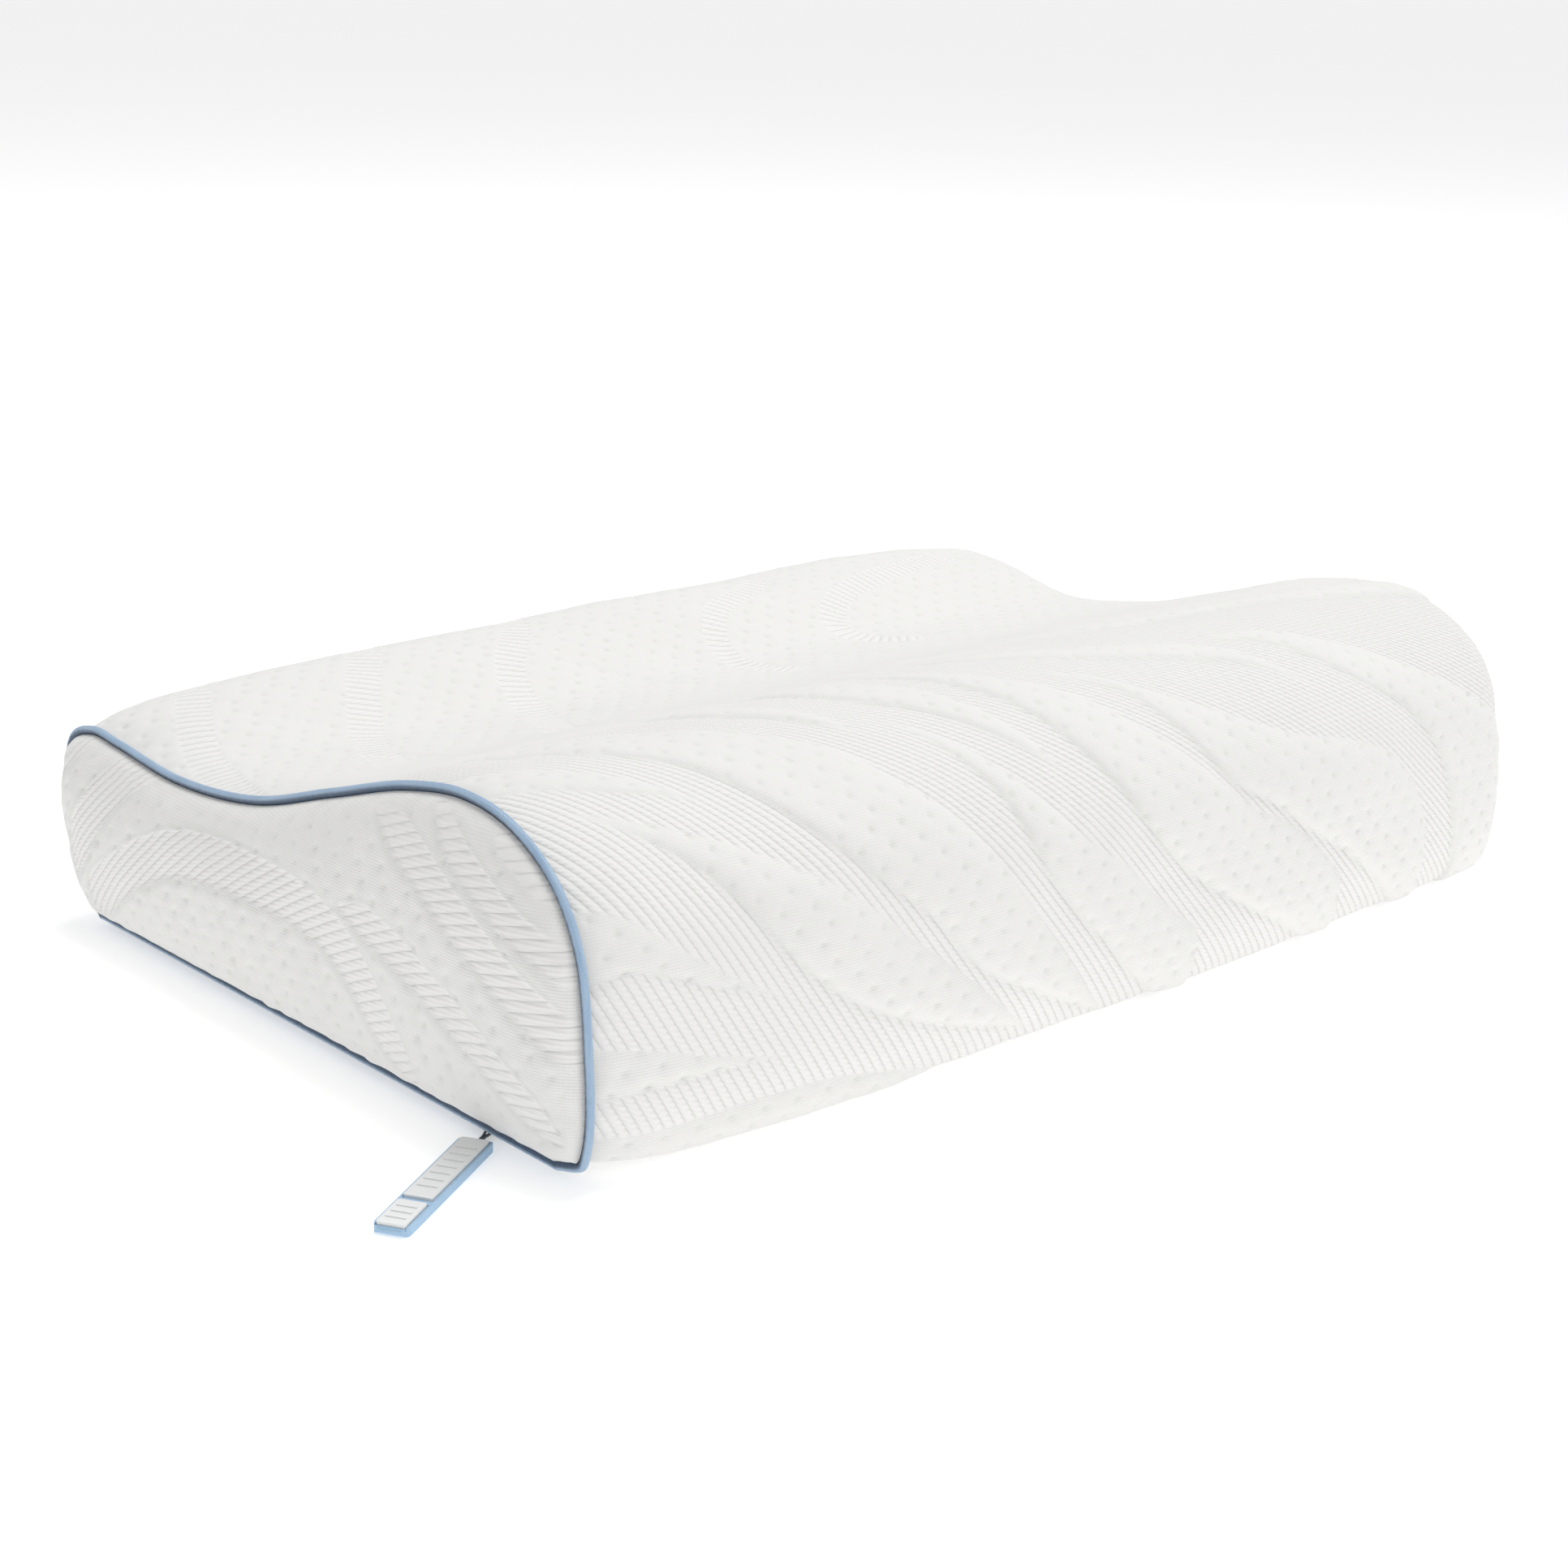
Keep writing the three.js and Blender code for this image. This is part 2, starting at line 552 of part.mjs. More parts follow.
/** The soft rubber body, with a forked nose round the link's pin and a pocket for each plate. */
function pullerBase() {
  const end = PULLER_START + PULLER_LENGTH;
  const half = PULLER_WIDTH / 2;
  const planShape = roundedRectangle(PULLER_START, -half, end, half, PULLER_CORNER);
  const plan = plate(planShape, PULLER_THICK, BASE_Z, 6);
  const r = PULLER_THICK / 2;
  const sideShape = roundedRectangle(PULLER_START, -r, end, r, r - 0.01);
  const side = plate(sideShape, PULLER_WIDTH, -half, 8).rotateX(Math.PI / 2).translate(0, 0, PIN_Z);
  const slotHalf = LINK_STEM / 2 + PIN_ROOM;
  const slot = block(
    [PULLER_START - 1, -slotHalf, BASE_Z - 1],
    [PIN_X + PIN_R + PIN_ROOM, slotHalf, BASE_Z + PULLER_THICK + 1],
  );
  const socketR = PIN_R + PIN_ROOM;
  const socketLength = PIN_LENGTH + 2 * PIN_ROOM;
  const socket = new THREE.CylinderGeometry(socketR, socketR, socketLength, 12);
  socket.translate(PIN_X, 0, PIN_Z);
  const pocket = (x, length) => block(
    [x - GAP, -PLATE_HALF - GAP, PLATE_Z - GAP],
    [x + length + GAP, PLATE_HALF + GAP, BASE_Z + PULLER_THICK + 1],
  );
  return geometryOf(
    solid(plan).intersect(solid(side)).subtract(solid(slot)).subtract(solid(socket))
      .subtract(solid(pocket(LONG_PLATE_X, PLATE_LENGTH_LONG)))
      .subtract(solid(pocket(END_PLATE_X, PLATE_LENGTH_END))),
  );
}

/** A hard white plate let into the rubber, with low grip ridges across it. */
function gripPlate(x, length, ridges, ridgePitch) {
  const thickness = PLATE_SUNK + PLATE_PROUD;
  const shape = roundedRectangle(x, -PLATE_HALF, x + length, PLATE_HALF, 0.8);
  const top = PLATE_Z + thickness;
  const middle = x + length / 2;
  let whole = solid(plate(shape, thickness, PLATE_Z, 3));
  for (let k = 0; k < ridges; k += 1) {
    const at = middle + (k - (ridges - 1) / 2) * ridgePitch;
    const low = [at - 0.5, -PLATE_HALF + 1.4, top - 0.2];
    const high = [at + 0.5, PLATE_HALF - 1.4, top + RIDGE_HEIGHT];
    whole = whole.add(solid(block(low, high)));
  }
  return geometryOf(whole);
}

// ---- assembly ----

const KNIT = { color: 0xf2f2f0, roughness: 0.95, metalness: 0 };
const JERSEY = { color: 0xe9e6df, roughness: 0.95, metalness: 0 };
const FOAM = { color: 0xf4ead2, roughness: 0.9, metalness: 0 };
const SATIN = { color: 0x86a6c6, roughness: 0.4, metalness: 0 };
const CORD = { color: 0xe6e6e2, roughness: 0.9, metalness: 0 };
const ZIP_WHITE = { color: 0xe8e9ea, roughness: 0.7, metalness: 0 };
const NICKEL = { color: 0xb9bcc0, roughness: 0.35, metalness: 1 };
const BLACK = { color: 0x15161a, roughness: 0.45, metalness: 0 };
const BLUE_RUBBER = { color: 0xa9c8e2, roughness: 0.55, metalness: 0 };
const WHITE_RUBBER = { color: 0xe5e6e5, roughness: 0.5, metalness: 0 };

/** A named piece of one material. */
function piece(name, geometry, look) {
  const mesh = new THREE.Mesh(geometry, new THREE.MeshStandardMaterial(look));
  mesh.name = name;
  return mesh;
}

/** The wrap panel, cut back along the zip. */
function wrapPanel() {
  const opening = block(
    [-END_SEAM - 1, TAPE_FRONT - GAP, -1],
    [TAPE_COVER_END + GAP, TAPE_REAR + GAP, UNDER_PULL + COVER_WALL + GAP],
  );
  return geometryOf(solid(sleeve(0, COVER_WALL)).subtract(solid(opening)));
}

const group = new THREE.Group();
const linerInset = COVER_WALL + LAYER_GAP;
group.add(
  piece('foam_core', foamCore(), FOAM),
  piece('liner_sleeve', sleeve(linerInset, LINER_WALL), JERSEY),
  piece('cover_wrap_panel', wrapPanel(), KNIT),
);
for (const [side, word] of [[-1, 'left'], [1, 'right']]) {
  group.add(
    piece(`liner_end_${word}`, endPanel(side, linerInset, LINER_WALL), JERSEY),
    piece(`cover_end_panel_${word}`, endPanel(side, 0, COVER_WALL), KNIT),
    piece(`piping_tape_${word}`, pipingTape(side), SATIN),
    piece(`piping_cord_${word}`, pipingCord(side), CORD),
  );
}
group.add(
  piece('zip_tape_cover_side', coverTape(), ZIP_WHITE),
  piece('zip_tape_panel_side', panelTape(), ZIP_WHITE),
  piece('zip_coil_cover_side', coil(1), ZIP_WHITE),
  piece('zip_coil_panel_side', coil(-1), ZIP_WHITE),
  piece('zip_stop_closed_end', endStop(CHAIN_FRONT - GAP - STOP_LENGTH), NICKEL),
  piece('zip_stop_open_end', endStop(CHAIN_REAR + GAP), NICKEL),
  piece('zip_slider_body', sliderBody(), NICKEL),
);

const pullTab = new THREE.Group();
pullTab.position.set(ZIP_X, PIVOT_Y, 0);
pullTab.rotation.z = HEADING;
pullTab.add(
  piece('puller_link', pullerLink(), BLACK),
  piece('puller_base', pullerBase(), BLUE_RUBBER),
  piece('puller_long_plate', gripPlate(LONG_PLATE_X, PLATE_LENGTH_LONG, 7, 5), WHITE_RUBBER),
  piece('puller_end_plate', gripPlate(END_PLATE_X, PLATE_LENGTH_END, 3, 4), WHITE_RUBBER),
);
group.add(pullTab);

export default group;
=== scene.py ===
import bpy
import numpy as np
from mathutils import Matrix, Vector


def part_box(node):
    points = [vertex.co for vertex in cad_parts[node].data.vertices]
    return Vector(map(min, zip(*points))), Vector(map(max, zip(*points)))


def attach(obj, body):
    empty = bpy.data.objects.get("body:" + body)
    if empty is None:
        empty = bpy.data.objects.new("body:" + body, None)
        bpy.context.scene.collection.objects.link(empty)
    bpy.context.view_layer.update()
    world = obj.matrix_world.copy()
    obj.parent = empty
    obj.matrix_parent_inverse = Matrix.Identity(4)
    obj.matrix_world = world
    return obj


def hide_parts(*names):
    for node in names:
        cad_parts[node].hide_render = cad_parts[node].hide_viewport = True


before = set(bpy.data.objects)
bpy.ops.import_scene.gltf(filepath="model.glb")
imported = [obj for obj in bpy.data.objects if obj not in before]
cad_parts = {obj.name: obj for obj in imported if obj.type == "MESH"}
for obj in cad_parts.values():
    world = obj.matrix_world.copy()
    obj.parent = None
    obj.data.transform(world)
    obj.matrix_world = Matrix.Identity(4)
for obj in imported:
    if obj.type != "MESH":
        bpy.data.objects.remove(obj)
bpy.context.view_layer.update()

# ---- camera, table and light ----
# A long lens looks at the zip end and the tall front lobe from the left, a little above the pillow.
# The table is a plain white board, lit by an even white room and two large soft lamps.

scene = bpy.context.scene
scene.view_settings.view_transform = "Standard"

CAMERA_AT = Vector((-0.7287, -0.7625, 0.3807))
CAMERA_AIM = Vector((-0.02804, 0.0, 0.05623))
CAMERA_ROLL = np.radians(1.372)

camera_data = bpy.data.cameras.new("camera")
camera_data.lens = 61.21
camera_data.sensor_width = 36
camera_data.clip_end = 200
camera = bpy.data.objects.new("camera", camera_data)
scene.collection.objects.link(camera)
forward = (CAMERA_AIM - CAMERA_AT).normalized()
level = forward.cross(Vector((0, 0, 1))).normalized()
upright = level.cross(forward)
right = level * np.cos(CAMERA_ROLL) + upright * np.sin(CAMERA_ROLL)
up = upright * np.cos(CAMERA_ROLL) - level * np.sin(CAMERA_ROLL)
turned = Matrix((right, up, -forward)).transposed().to_4x4()
camera.matrix_world = Matrix.Translation(CAMERA_AT) @ turned
scene.camera = camera


def linear(colour):
    """An sRGB hex colour as linear RGBA: the sRGB curve undone for each channel."""
    parts = np.array([int(colour[k:k + 2], 16) for k in (1, 3, 5)]) / 255
    low, high = parts / 12.92, ((parts + 0.055) / 1.055) ** 2.4
    return (*np.where(parts <= 0.04045, low, high).tolist(), 1.0)


def add(tree, kind, inputs=None, out=0, **settings):
    """Adds one shader node with its settings; an input that is given a socket is linked to it."""
    made = tree.nodes.new("ShaderNode" + kind)
    for setting, value in settings.items():
        setattr(made, setting, value)
    for key, value in (inputs or {}).items():
        if isinstance(value, bpy.types.NodeSocket):
            tree.links.new(value, made.inputs[key])
        else:
            made.inputs[key].default_value = value
    return made.outputs[out] if len(made.outputs) else made


def material(name):
    """An empty node material and its tree."""
    made = bpy.data.materials.new(name)
    made.use_nodes = True
    made.node_tree.nodes.clear()
    return made, made.node_tree


# matt white painted board with a very fine tooth, lit a little from within like a light table
table_paint, tree = material("white_table_paint")
place = add(tree, "TexCoord", out=3)
tooth = add(tree, "TexNoise", {"Vector": place, "Scale": 900.0, "Detail": 2.0})
shade = add(tree, "Bump", {"Height": tooth, "Distance": 0.0001, "Strength": 0.2})
paint = add(tree, "BsdfPrincipled", {
    "Base Color": linear("#F7F7F7"), "Roughness": 0.9, "Specular IOR Level": 0.1, "Normal": shade,
    "Emission Color": (1, 1, 1, 1), "Emission Strength": 0.36})
add(tree, "OutputMaterial", {"Surface": paint})

TABLE_REACH = 60.0
TABLE_TOP = -0.0002  # a hair under the pillow
table_mesh = bpy.data.meshes.new("table")
corner = [(-1, -1), (1, -1), (1, 1), (-1, 1)]
board = [(TABLE_REACH * x, TABLE_REACH * y, TABLE_TOP) for x, y in corner]
table_mesh.from_pydata(board, [], [(0, 1, 2, 3)])
table_mesh.materials.append(table_paint)
table = bpy.data.objects.new("table", table_mesh)
scene.collection.objects.link(table)

room = bpy.data.worlds.new("white_room")
room.use_nodes = True
room.node_tree.nodes["Background"].inputs["Color"].default_value = (1, 1, 1, 1)
room.node_tree.nodes["Background"].inputs["Strength"].default_value = 0.56
scene.world = room


def soft_lamp(name, at, aim, size, watts):
    """A square white area lamp at a point, turned to face another point."""
    data = bpy.data.lights.new(name, "AREA")
    data.shape = "SQUARE"
    data.size = size
    data.energy = watts
    lamp = bpy.data.objects.new(name, data)
    lamp.location = at
    lamp.rotation_euler = (Vector(aim) - Vector(at)).to_track_quat("-Z", "Y").to_euler()
    scene.collection.objects.link(lamp)


soft_lamp("softbox_high", (0.6, 0.2, 3.0), (0, 0, 0.05), 1.5, 46)
soft_lamp("softbox_front", (1.2, -3.0, 1.6), (0, 0, 0.05), 1.6, 14)

# ---- foam core ----
# One block of viscoelastic foam, moulded to two lobes with a valley between for the neck.
# The mould leaves a thin smooth skin with open pores in it, cream coloured and quite matt.

MM = 0.001  # every size below is in millimetres
LEFT_SEAM, RIGHT_SEAM = -250.0, 264.0  # end seams along x
FRONT, REAR = -157.0, 186.0  # the outline's ends along y
FRONT_TOP, VALLEY_TOP, REAR_TOP = 121.0, 80.5, 85.0
CREST = FRONT + 67.0
VALLEY = REAR - 91.0
FRONT_BOW, BOW_HALF = 10.0, 250.0  # how far the front bows out, and over which half length
SEAM_PULL, SEAM_REACH = 5.0, 30.0  # how deep the left seam draws the outline in, and from how far
UNDER_PULL, UNDER_REACH = 6.2, 45.0  # the same along the flat bottom
RIGHT_PULL, RIGHT_UNDER_PULL, RIGHT_REACH = 18.0, 15.0, 26.0  # the round shoulder at the right seam
SHOULDER_TURN = 0.9  # how much of a quarter circle that shoulder goes through
REAR_SWELL, SWELL_SKEW = 10.8, 0.012  # how far the low lobe stands out at x = 0, and its growth along x
FOAM_IN = 5.4  # foam inside the cover's outer face
DOME = 13.0  # rise of the end panels
FOAM_SLACK = 0.4  # less rise of the foam behind them
SPINE_IN = 45.0  # ends of a dome's spine inside the front and the rear
SPINE_SHARE = 0.9  # how far the rings of a dome go towards its spine

drop = FRONT_TOP - VALLEY_TOP
SECTION = np.array([
    (FRONT + 18, 0), (FRONT + 5, 5), (FRONT, 18), (FRONT, 0.4 * FRONT_TOP),
    (FRONT + 5, 0.68 * FRONT_TOP), (FRONT + 18, 0.85 * FRONT_TOP), (FRONT + 41, 0.965 * FRONT_TOP),
    (CREST, FRONT_TOP),
    (CREST + 0.18 * (VALLEY - CREST), FRONT_TOP - 0.12 * drop),
    (CREST + 0.43 * (VALLEY - CREST), FRONT_TOP - 0.47 * drop),
    (CREST + 0.71 * (VALLEY - CREST), FRONT_TOP - 0.86 * drop),
    (VALLEY, VALLEY_TOP), (REAR - 46, REAR_TOP - 1), (REAR - 26, REAR_TOP),
    (REAR - 8, 0.92 * REAR_TOP), (REAR, 0.7 * REAR_TOP), (REAR - 2, 0.45 * REAR_TOP),
    (REAR - 10, 0.16 * REAR_TOP), (REAR - 24, 0)])


def smooth_step(value, low, high):
    """0 below low, 1 above high, and 3t^2 - 2t^3 between them."""
    t = np.clip((value - low) / (high - low), 0, 1)
    return t * t * (3 - 2 * t)


def spline(points, count):
    """A curve through all the points: cubic pieces whose knots are the square roots of the spans."""
    points = np.asarray(points, float)
    ends = np.vstack([2 * points[0] - points[1], points, 2 * points[-1] - points[-2]])
    knots = np.concatenate([[0], np.cumsum(np.linalg.norm(np.diff(ends, axis=0), axis=1) ** 0.5)])
    t = np.linspace(knots[1], knots[-2], count)
    span = np.clip(np.searchsorted(knots, t, side="right") - 1, 1, len(ends) - 3)
    t0, t1, t2, t3 = (knots[span + k][:, None] for k in (-1, 0, 1, 2))
    p0, p1, p2, p3 = (ends[span + k] for k in (-1, 0, 1, 2))
    t = t[:, None]
    a1 = (t1 - t) / (t1 - t0) * p0 + (t - t0) / (t1 - t0) * p1
    a2 = (t2 - t) / (t2 - t1) * p1 + (t - t1) / (t2 - t1) * p2
    a3 = (t3 - t) / (t3 - t2) * p2 + (t - t2) / (t3 - t2) * p3
    b1 = (t2 - t) / (t2 - t0) * a1 + (t - t0) / (t2 - t0) * a2
    b2 = (t3 - t) / (t3 - t1) * a2 + (t - t1) / (t3 - t1) * a3
    return (t2 - t) / (t2 - t1) * b1 + (t - t1) / (t2 - t1) * b2


upper_line = spline(SECTION, 4000)
run = np.concatenate([[0], np.cumsum(np.linalg.norm(np.diff(upper_line, axis=0), axis=1))])
OVER = run[-1]  # front bottom edge, over the top, to the rear bottom edge
FLAT = upper_line[-1, 0] - upper_line[0, 0]
AROUND = OVER + FLAT
loop_run = np.append(run, AROUND)
loop_line = np.vstack([upper_line, upper_line[:1]])


def section(s):
    """The closed outline at distance s round it: (y, z), and the outward normal from a +-1.5 mm chord."""
    at = [np.stack([np.interp((s + d) % AROUND, loop_run, loop_line[:, k]) for k in (0, 1)], -1)
          for d in (-1.5, 0, 1.5)]
    chord = at[2] - at[0]
    chord /= np.linalg.norm(chord, axis=-1, keepdims=True)
    return at[1], np.stack([-chord[:, 1], chord[:, 0]], -1)


def seam_pull(x, under):
    """How deep the outline is drawn in at x: a falling square towards the left seam, and a round
    shoulder, 1 - sqrt(1 - t^2), towards the right one. under is 1 along the flat bottom."""
    depth = SEAM_PULL + (UNDER_PULL - SEAM_PULL) * under
    reach = SEAM_REACH + (UNDER_REACH - SEAM_REACH) * under
    left = depth * np.maximum(0, 1 - np.maximum(x - LEFT_SEAM, 0) / reach) ** 2
    turn = SHOULDER_TURN * np.maximum(0, 1 - np.maximum(RIGHT_SEAM - x, 0) / RIGHT_REACH)
    fall = (1 - np.sqrt(1 - turn ** 2)) / (1 - np.sqrt(1 - SHOULDER_TURN ** 2))
    return left + (RIGHT_PULL + (RIGHT_UNDER_PULL - RIGHT_PULL) * under) * fall


def swell(x, point):
    """How far the low lobe stands out between its seams: (10.8 + 0.012 x)(1 - u^6), where u runs from
    -1 at the left seam to 1 at the right one; nothing in the valley or along the bottom."""
    u = (x - (LEFT_SEAM + RIGHT_SEAM) / 2) / ((RIGHT_SEAM - LEFT_SEAM) / 2)
    on_lobe = smooth_step(point[:, 0], VALLEY - 10, REAR - 40) * smooth_step(point[:, 1], 5, 45)
    return (REAR_SWELL + SWELL_SKEW * x) * np.maximum(0, 1 - u ** 6) * on_lobe


def body(x, s, inset=0.0):
    """The pillow's skin: the outline carried along X, drawn in towards both end seams, swollen along
    the low lobe and bowed out along the front; inset moves it inwards along the outline's normal."""
    point, normal = section(s)
    under = smooth_step(-normal[:, 1], 0.5, 0.95)
    pull = seam_pull(x[:, None], under[None]) + inset - swell(x[:, None], point)
    y = point[:, 0] - normal[:, 0] * pull
    z = point[:, 1] - normal[:, 1] * pull
    bow = FRONT_BOW * np.maximum(0, 1 - (x[:, None] / BOW_HALF) ** 2) * smooth_step(-y, -FRONT * 0.35, -FRONT)
    return np.stack([np.broadcast_to(x[:, None], y.shape), y - bow, z], -1)


def mesh_object(name, points, faces, maps=None, spots=None, weld=None, sharp=None):
    """One object from points in millimetres and arrays of polygons of any size. maps are UV layers and
    spots are number attributes, both given per point; weld says which point each point becomes."""
    corners = np.concatenate([f.ravel() for f in faces])
    sizes = np.concatenate([np.full(len(f), f.shape[1]) for f in faces])
    welded = corners if weld is None else weld[corners]
    used, index = np.unique(welded, return_inverse=True)
    mesh = bpy.data.meshes.new(name)
    mesh.vertices.add(len(used))
    mesh.vertices.foreach_set("co", (points[used] * MM).ravel())
    mesh.loops.add(len(corners))
    mesh.loops.foreach_set("vertex_index", index.ravel())
    mesh.polygons.add(len(sizes))
    mesh.polygons.foreach_set("loop_start", np.concatenate([[0], np.cumsum(sizes)[:-1]]))
    mesh.polygons.foreach_set("use_smooth", np.ones(len(sizes), bool))
    for layer, values in (maps or {}).items():
        mesh.uv_layers.new(name=layer).data.foreach_set("uv", values[corners].ravel())
    for spot, values in (spots or {}).items():
        mesh.attributes.new(spot, "FLOAT", "POINT").data.foreach_set("value", values[used].ravel())
    mesh.update(calc_edges=True)
    mesh.validate()
    if sharp:
        mesh.set_sharp_from_angle(angle=np.radians(sharp))
    made = bpy.data.objects.new(name, mesh)
    scene.collection.objects.link(made)
    return made


def fit(piece, node, finish):
    """Gives a new piece its material and its body, and hides the CAD node it stands for."""
    piece.data.materials.append(finish)
    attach(piece, "pillow")
    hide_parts(node)


def quads(grid):
    """Every cell of a grid of point numbers as a quad, first axis first."""
    return np.stack([grid[:-1, :-1], grid[1:, :-1], grid[1:, 1:], grid[:-1, 1:]], -1).reshape(-1, 4)


RIM_ROUND = np.linspace(0, AROUND, 321)[:-1]  # one section of the closed outline, for plain pieces


def spine_of(y):
    """The ridge that an end dome rises to: y kept 45 mm inside the ends, z at half the height."""
    lean = smooth_step(y, CREST, VALLEY)
    return np.clip(y, FRONT + SPINE_IN, REAR - SPINE_IN), FRONT_TOP / 2 + (VALLEY_TOP - FRONT_TOP) / 2 * lean


def into_dome(flat, seam, inset):
    """How far a point lies from the rim towards the spine, 0 to 1: its distance to the outline over
    the sum of its distances to the outline and to the spine. Also gives the distance to the outline."""
    rim = body(np.array([seam]), np.linspace(0, AROUND, 420), inset)[0, :, 1:]
    spots = flat.reshape(-1, 2)
    a, span = rim[:-1], np.diff(rim, axis=0)
    length = (span ** 2).sum(-1) + 1e-9
    nearest = np.full(len(spots), 1e9)
    for start in range(0, len(a), 60):
        part = slice(start, start + 60)
        to = spots[:, None] - a[None, part]
        t = np.clip((to * span[None, part]).sum(-1) / length[part], 0, 1)
        gap = np.linalg.norm(to - t[..., None] * span[None, part], axis=-1)
        nearest = np.minimum(nearest, gap.min(1))
    spine_y, spine_z = spine_of(spots[:, 0])
    to_spine = np.hypot(spots[:, 0] - spine_y, spots[:, 1] - spine_z)
    return (nearest / (nearest + to_spine + 1e-9)).reshape(flat.shape[:2]), nearest.reshape(flat.shape[:2])


def dome_rings(seam, height, rings, inset):
    """Rings from the rim at a seam nine tenths of the way to its spine; the rise is
    height * sqrt(1 - (1 - t)^2), with t the share of the way in. The last ring is level."""
    rim = body(np.array([seam]), RIM_ROUND, inset)[0, :, 1:]
    step = SPINE_SHARE * (1 - np.cos(np.linspace(0, np.pi / 2, rings)))
    spine_y, spine_z = spine_of(rim[:, 0])
    y = rim[:, 0] + step[:, None] * (spine_y - rim[:, 0])
    z = rim[:, 1] + step[:, None] * (spine_z - rim[:, 1])
    share, _ = into_dome(np.stack([y, z], -1), seam, inset)
    share[0], share[-1] = 0, step[-1]
    return y, z, height * np.sqrt(1 - (1 - share) ** 2)


def closed_ends(grid):
    """One flat polygon over each of the two open ends of a tube of quads."""
    return [grid[:1, :-1], grid[-1:, -2::-1]]


def x_lines(start, straight, hem, rounds):
    """Where sections stand along X: evenly from start to the right shoulder, and from there closer and
    closer together, as the square of even steps, until the hem's distance from the right seam."""
    shoulder = RIGHT_SEAM - np.linspace(RIGHT_REACH ** 0.5, hem ** 0.5, rounds) ** 2
    return np.concatenate([np.linspace(start, shoulder[0], straight)[:-1], shoulder])


def closed_block(name, inset, height):
    """A tube of sections between two domed ends, all one skin."""
    skin = body(x_lines(LEFT_SEAM, 90, 0, 18), RIM_ROUND, inset)
    left = dome_rings(LEFT_SEAM, height, 13, inset)
    right_end = dome_rings(RIGHT_SEAM, height, 13, inset)
    low = np.stack([LEFT_SEAM - left[2][1:], left[0][1:], left[1][1:]], -1)[::-1]
    high = np.stack([RIGHT_SEAM + right_end[2][1:], right_end[0][1:], right_end[1][1:]], -1)
    rows = np.concatenate([low, skin, high])
    grid = np.arange(rows[..., 0].size).reshape(rows.shape[:2])
    grid = np.hstack([grid, grid[:, :1]])
    return mesh_object(name, rows.reshape(-1, 3), [quads(grid), *closed_ends(grid)])


foam_finish, tree = material("moulded_viscoelastic_foam")
place = add(tree, "TexCoord", out=3)
# fine pores up to 1 mm across and sparser ones up to 1.4 mm, in a skin that varies a little in tone
pores = add(tree, "TexVoronoi", {"Vector": place, "Scale": 900.0})
bubbles = add(tree, "TexVoronoi", {"Vector": place, "Scale": 260.0})
density = add(tree, "TexNoise", {"Vector": place, "Scale": 45.0, "Detail": 4.0})
pitted = add(tree, "MapRange", {"Value": pores, "From Min": 0.05, "From Max": 0.45})
holes = add(tree, "MapRange", {"Value": bubbles, "From Min": 0.02, "From Max": 0.18})
depth = add(tree, "Math", {0: pitted, 1: holes}, operation="MULTIPLY")
# painted shade: the pores are coloured a darker cream where they sink deepest
cream_with_painted_pore_shade = add(tree, "ValToRGB", {"Fac": depth})
ramp = cream_with_painted_pore_shade.node.color_ramp
ramp.elements[0].color = linear("#C9B98F")
ramp.elements[1].color = linear("#F3E8CC")
tinted = add(tree, "MixRGB", {"Fac": 0.12, "Color1": cream_with_painted_pore_shade, "Color2": density}, blend_type="OVERLAY")
relief = add(tree, "Bump", {"Height": depth, "Distance": 0.0004, "Strength": 0.7})
foam = add(tree, "BsdfPrincipled", {
    "Base Color": tinted, "Roughness": 0.92, "Specular IOR Level": 0.2, "Normal": relief,
    "Subsurface Weight": 0.05, "Subsurface Radius": (0.004, 0.003, 0.002)})
add(tree, "OutputMaterial", {"Surface": foam})

foam_core = closed_block("foam_core_moulded", FOAM_IN, DOME - FOAM_IN - FOAM_SLACK)
fit(foam_core, "foam_core", foam_finish)

# ---- inner liner ----
# A thin cotton jersey sleeve with two end panels, stitched shut round the foam.
# It stays on the foam when the cover comes off; fine wales run along it.

LINER_IN, LINER_WALL = 3.7, 1.0  # outer face inside the cover's, and wall
HEM_GAP = 0.3  # between a sleeve's hem and its end panel

jersey, tree = material("cotton_liner_jersey")
place = add(tree, "TexCoord", out=3)
# jersey loops, 1.1 mm apart
wales = add(tree, "TexWave", {"Vector": place, "Scale": 290.0, "Distortion": 0.4}, out=1,
            wave_type="BANDS", bands_direction="Y")
courses = add(tree, "TexWave", {"Vector": place, "Scale": 290.0, "Distortion": 0.6}, out=1,
              wave_type="BANDS", bands_direction="X")
loops = add(tree, "Math", {0: wales, 1: courses}, operation="MULTIPLY")
fuzz = add(tree, "TexNoise", {"Vector": place, "Scale": 60.0, "Detail": 5.0})
yarn = add(tree, "MixRGB", {"Fac": fuzz, "Color1": linear("#E4E0D6"), "Color2": linear("#EFECE4")})
ribbed = add(tree, "Bump", {"Height": loops, "Distance": 0.0003, "Strength": 0.6})
cloth = add(tree, "BsdfPrincipled", {
    "Base Color": yarn, "Roughness": 0.9, "Sheen Weight": 0.2, "Sheen Roughness": 0.5,
    "Specular IOR Level": 0.15, "Normal": ribbed})
add(tree, "OutputMaterial", {"Surface": cloth})


def plain_tube(name, inset, wall):
    """A sleeve with an outer and an inner skin, and a flat hem at both ends."""
    x = x_lines(LEFT_SEAM + HEM_GAP, 90, HEM_GAP, 18)
    skins = np.concatenate([body(x, RIM_ROUND, inset), body(x, RIM_ROUND, inset + wall)[::-1]])
    grid = np.arange(skins[..., 0].size).reshape(skins.shape[:2])
    grid = np.vstack([grid, grid[:1]])
    grid = np.hstack([grid, grid[:, :1]])
    return mesh_object(name, skins.reshape(-1, 3), [quads(grid)], sharp=50)


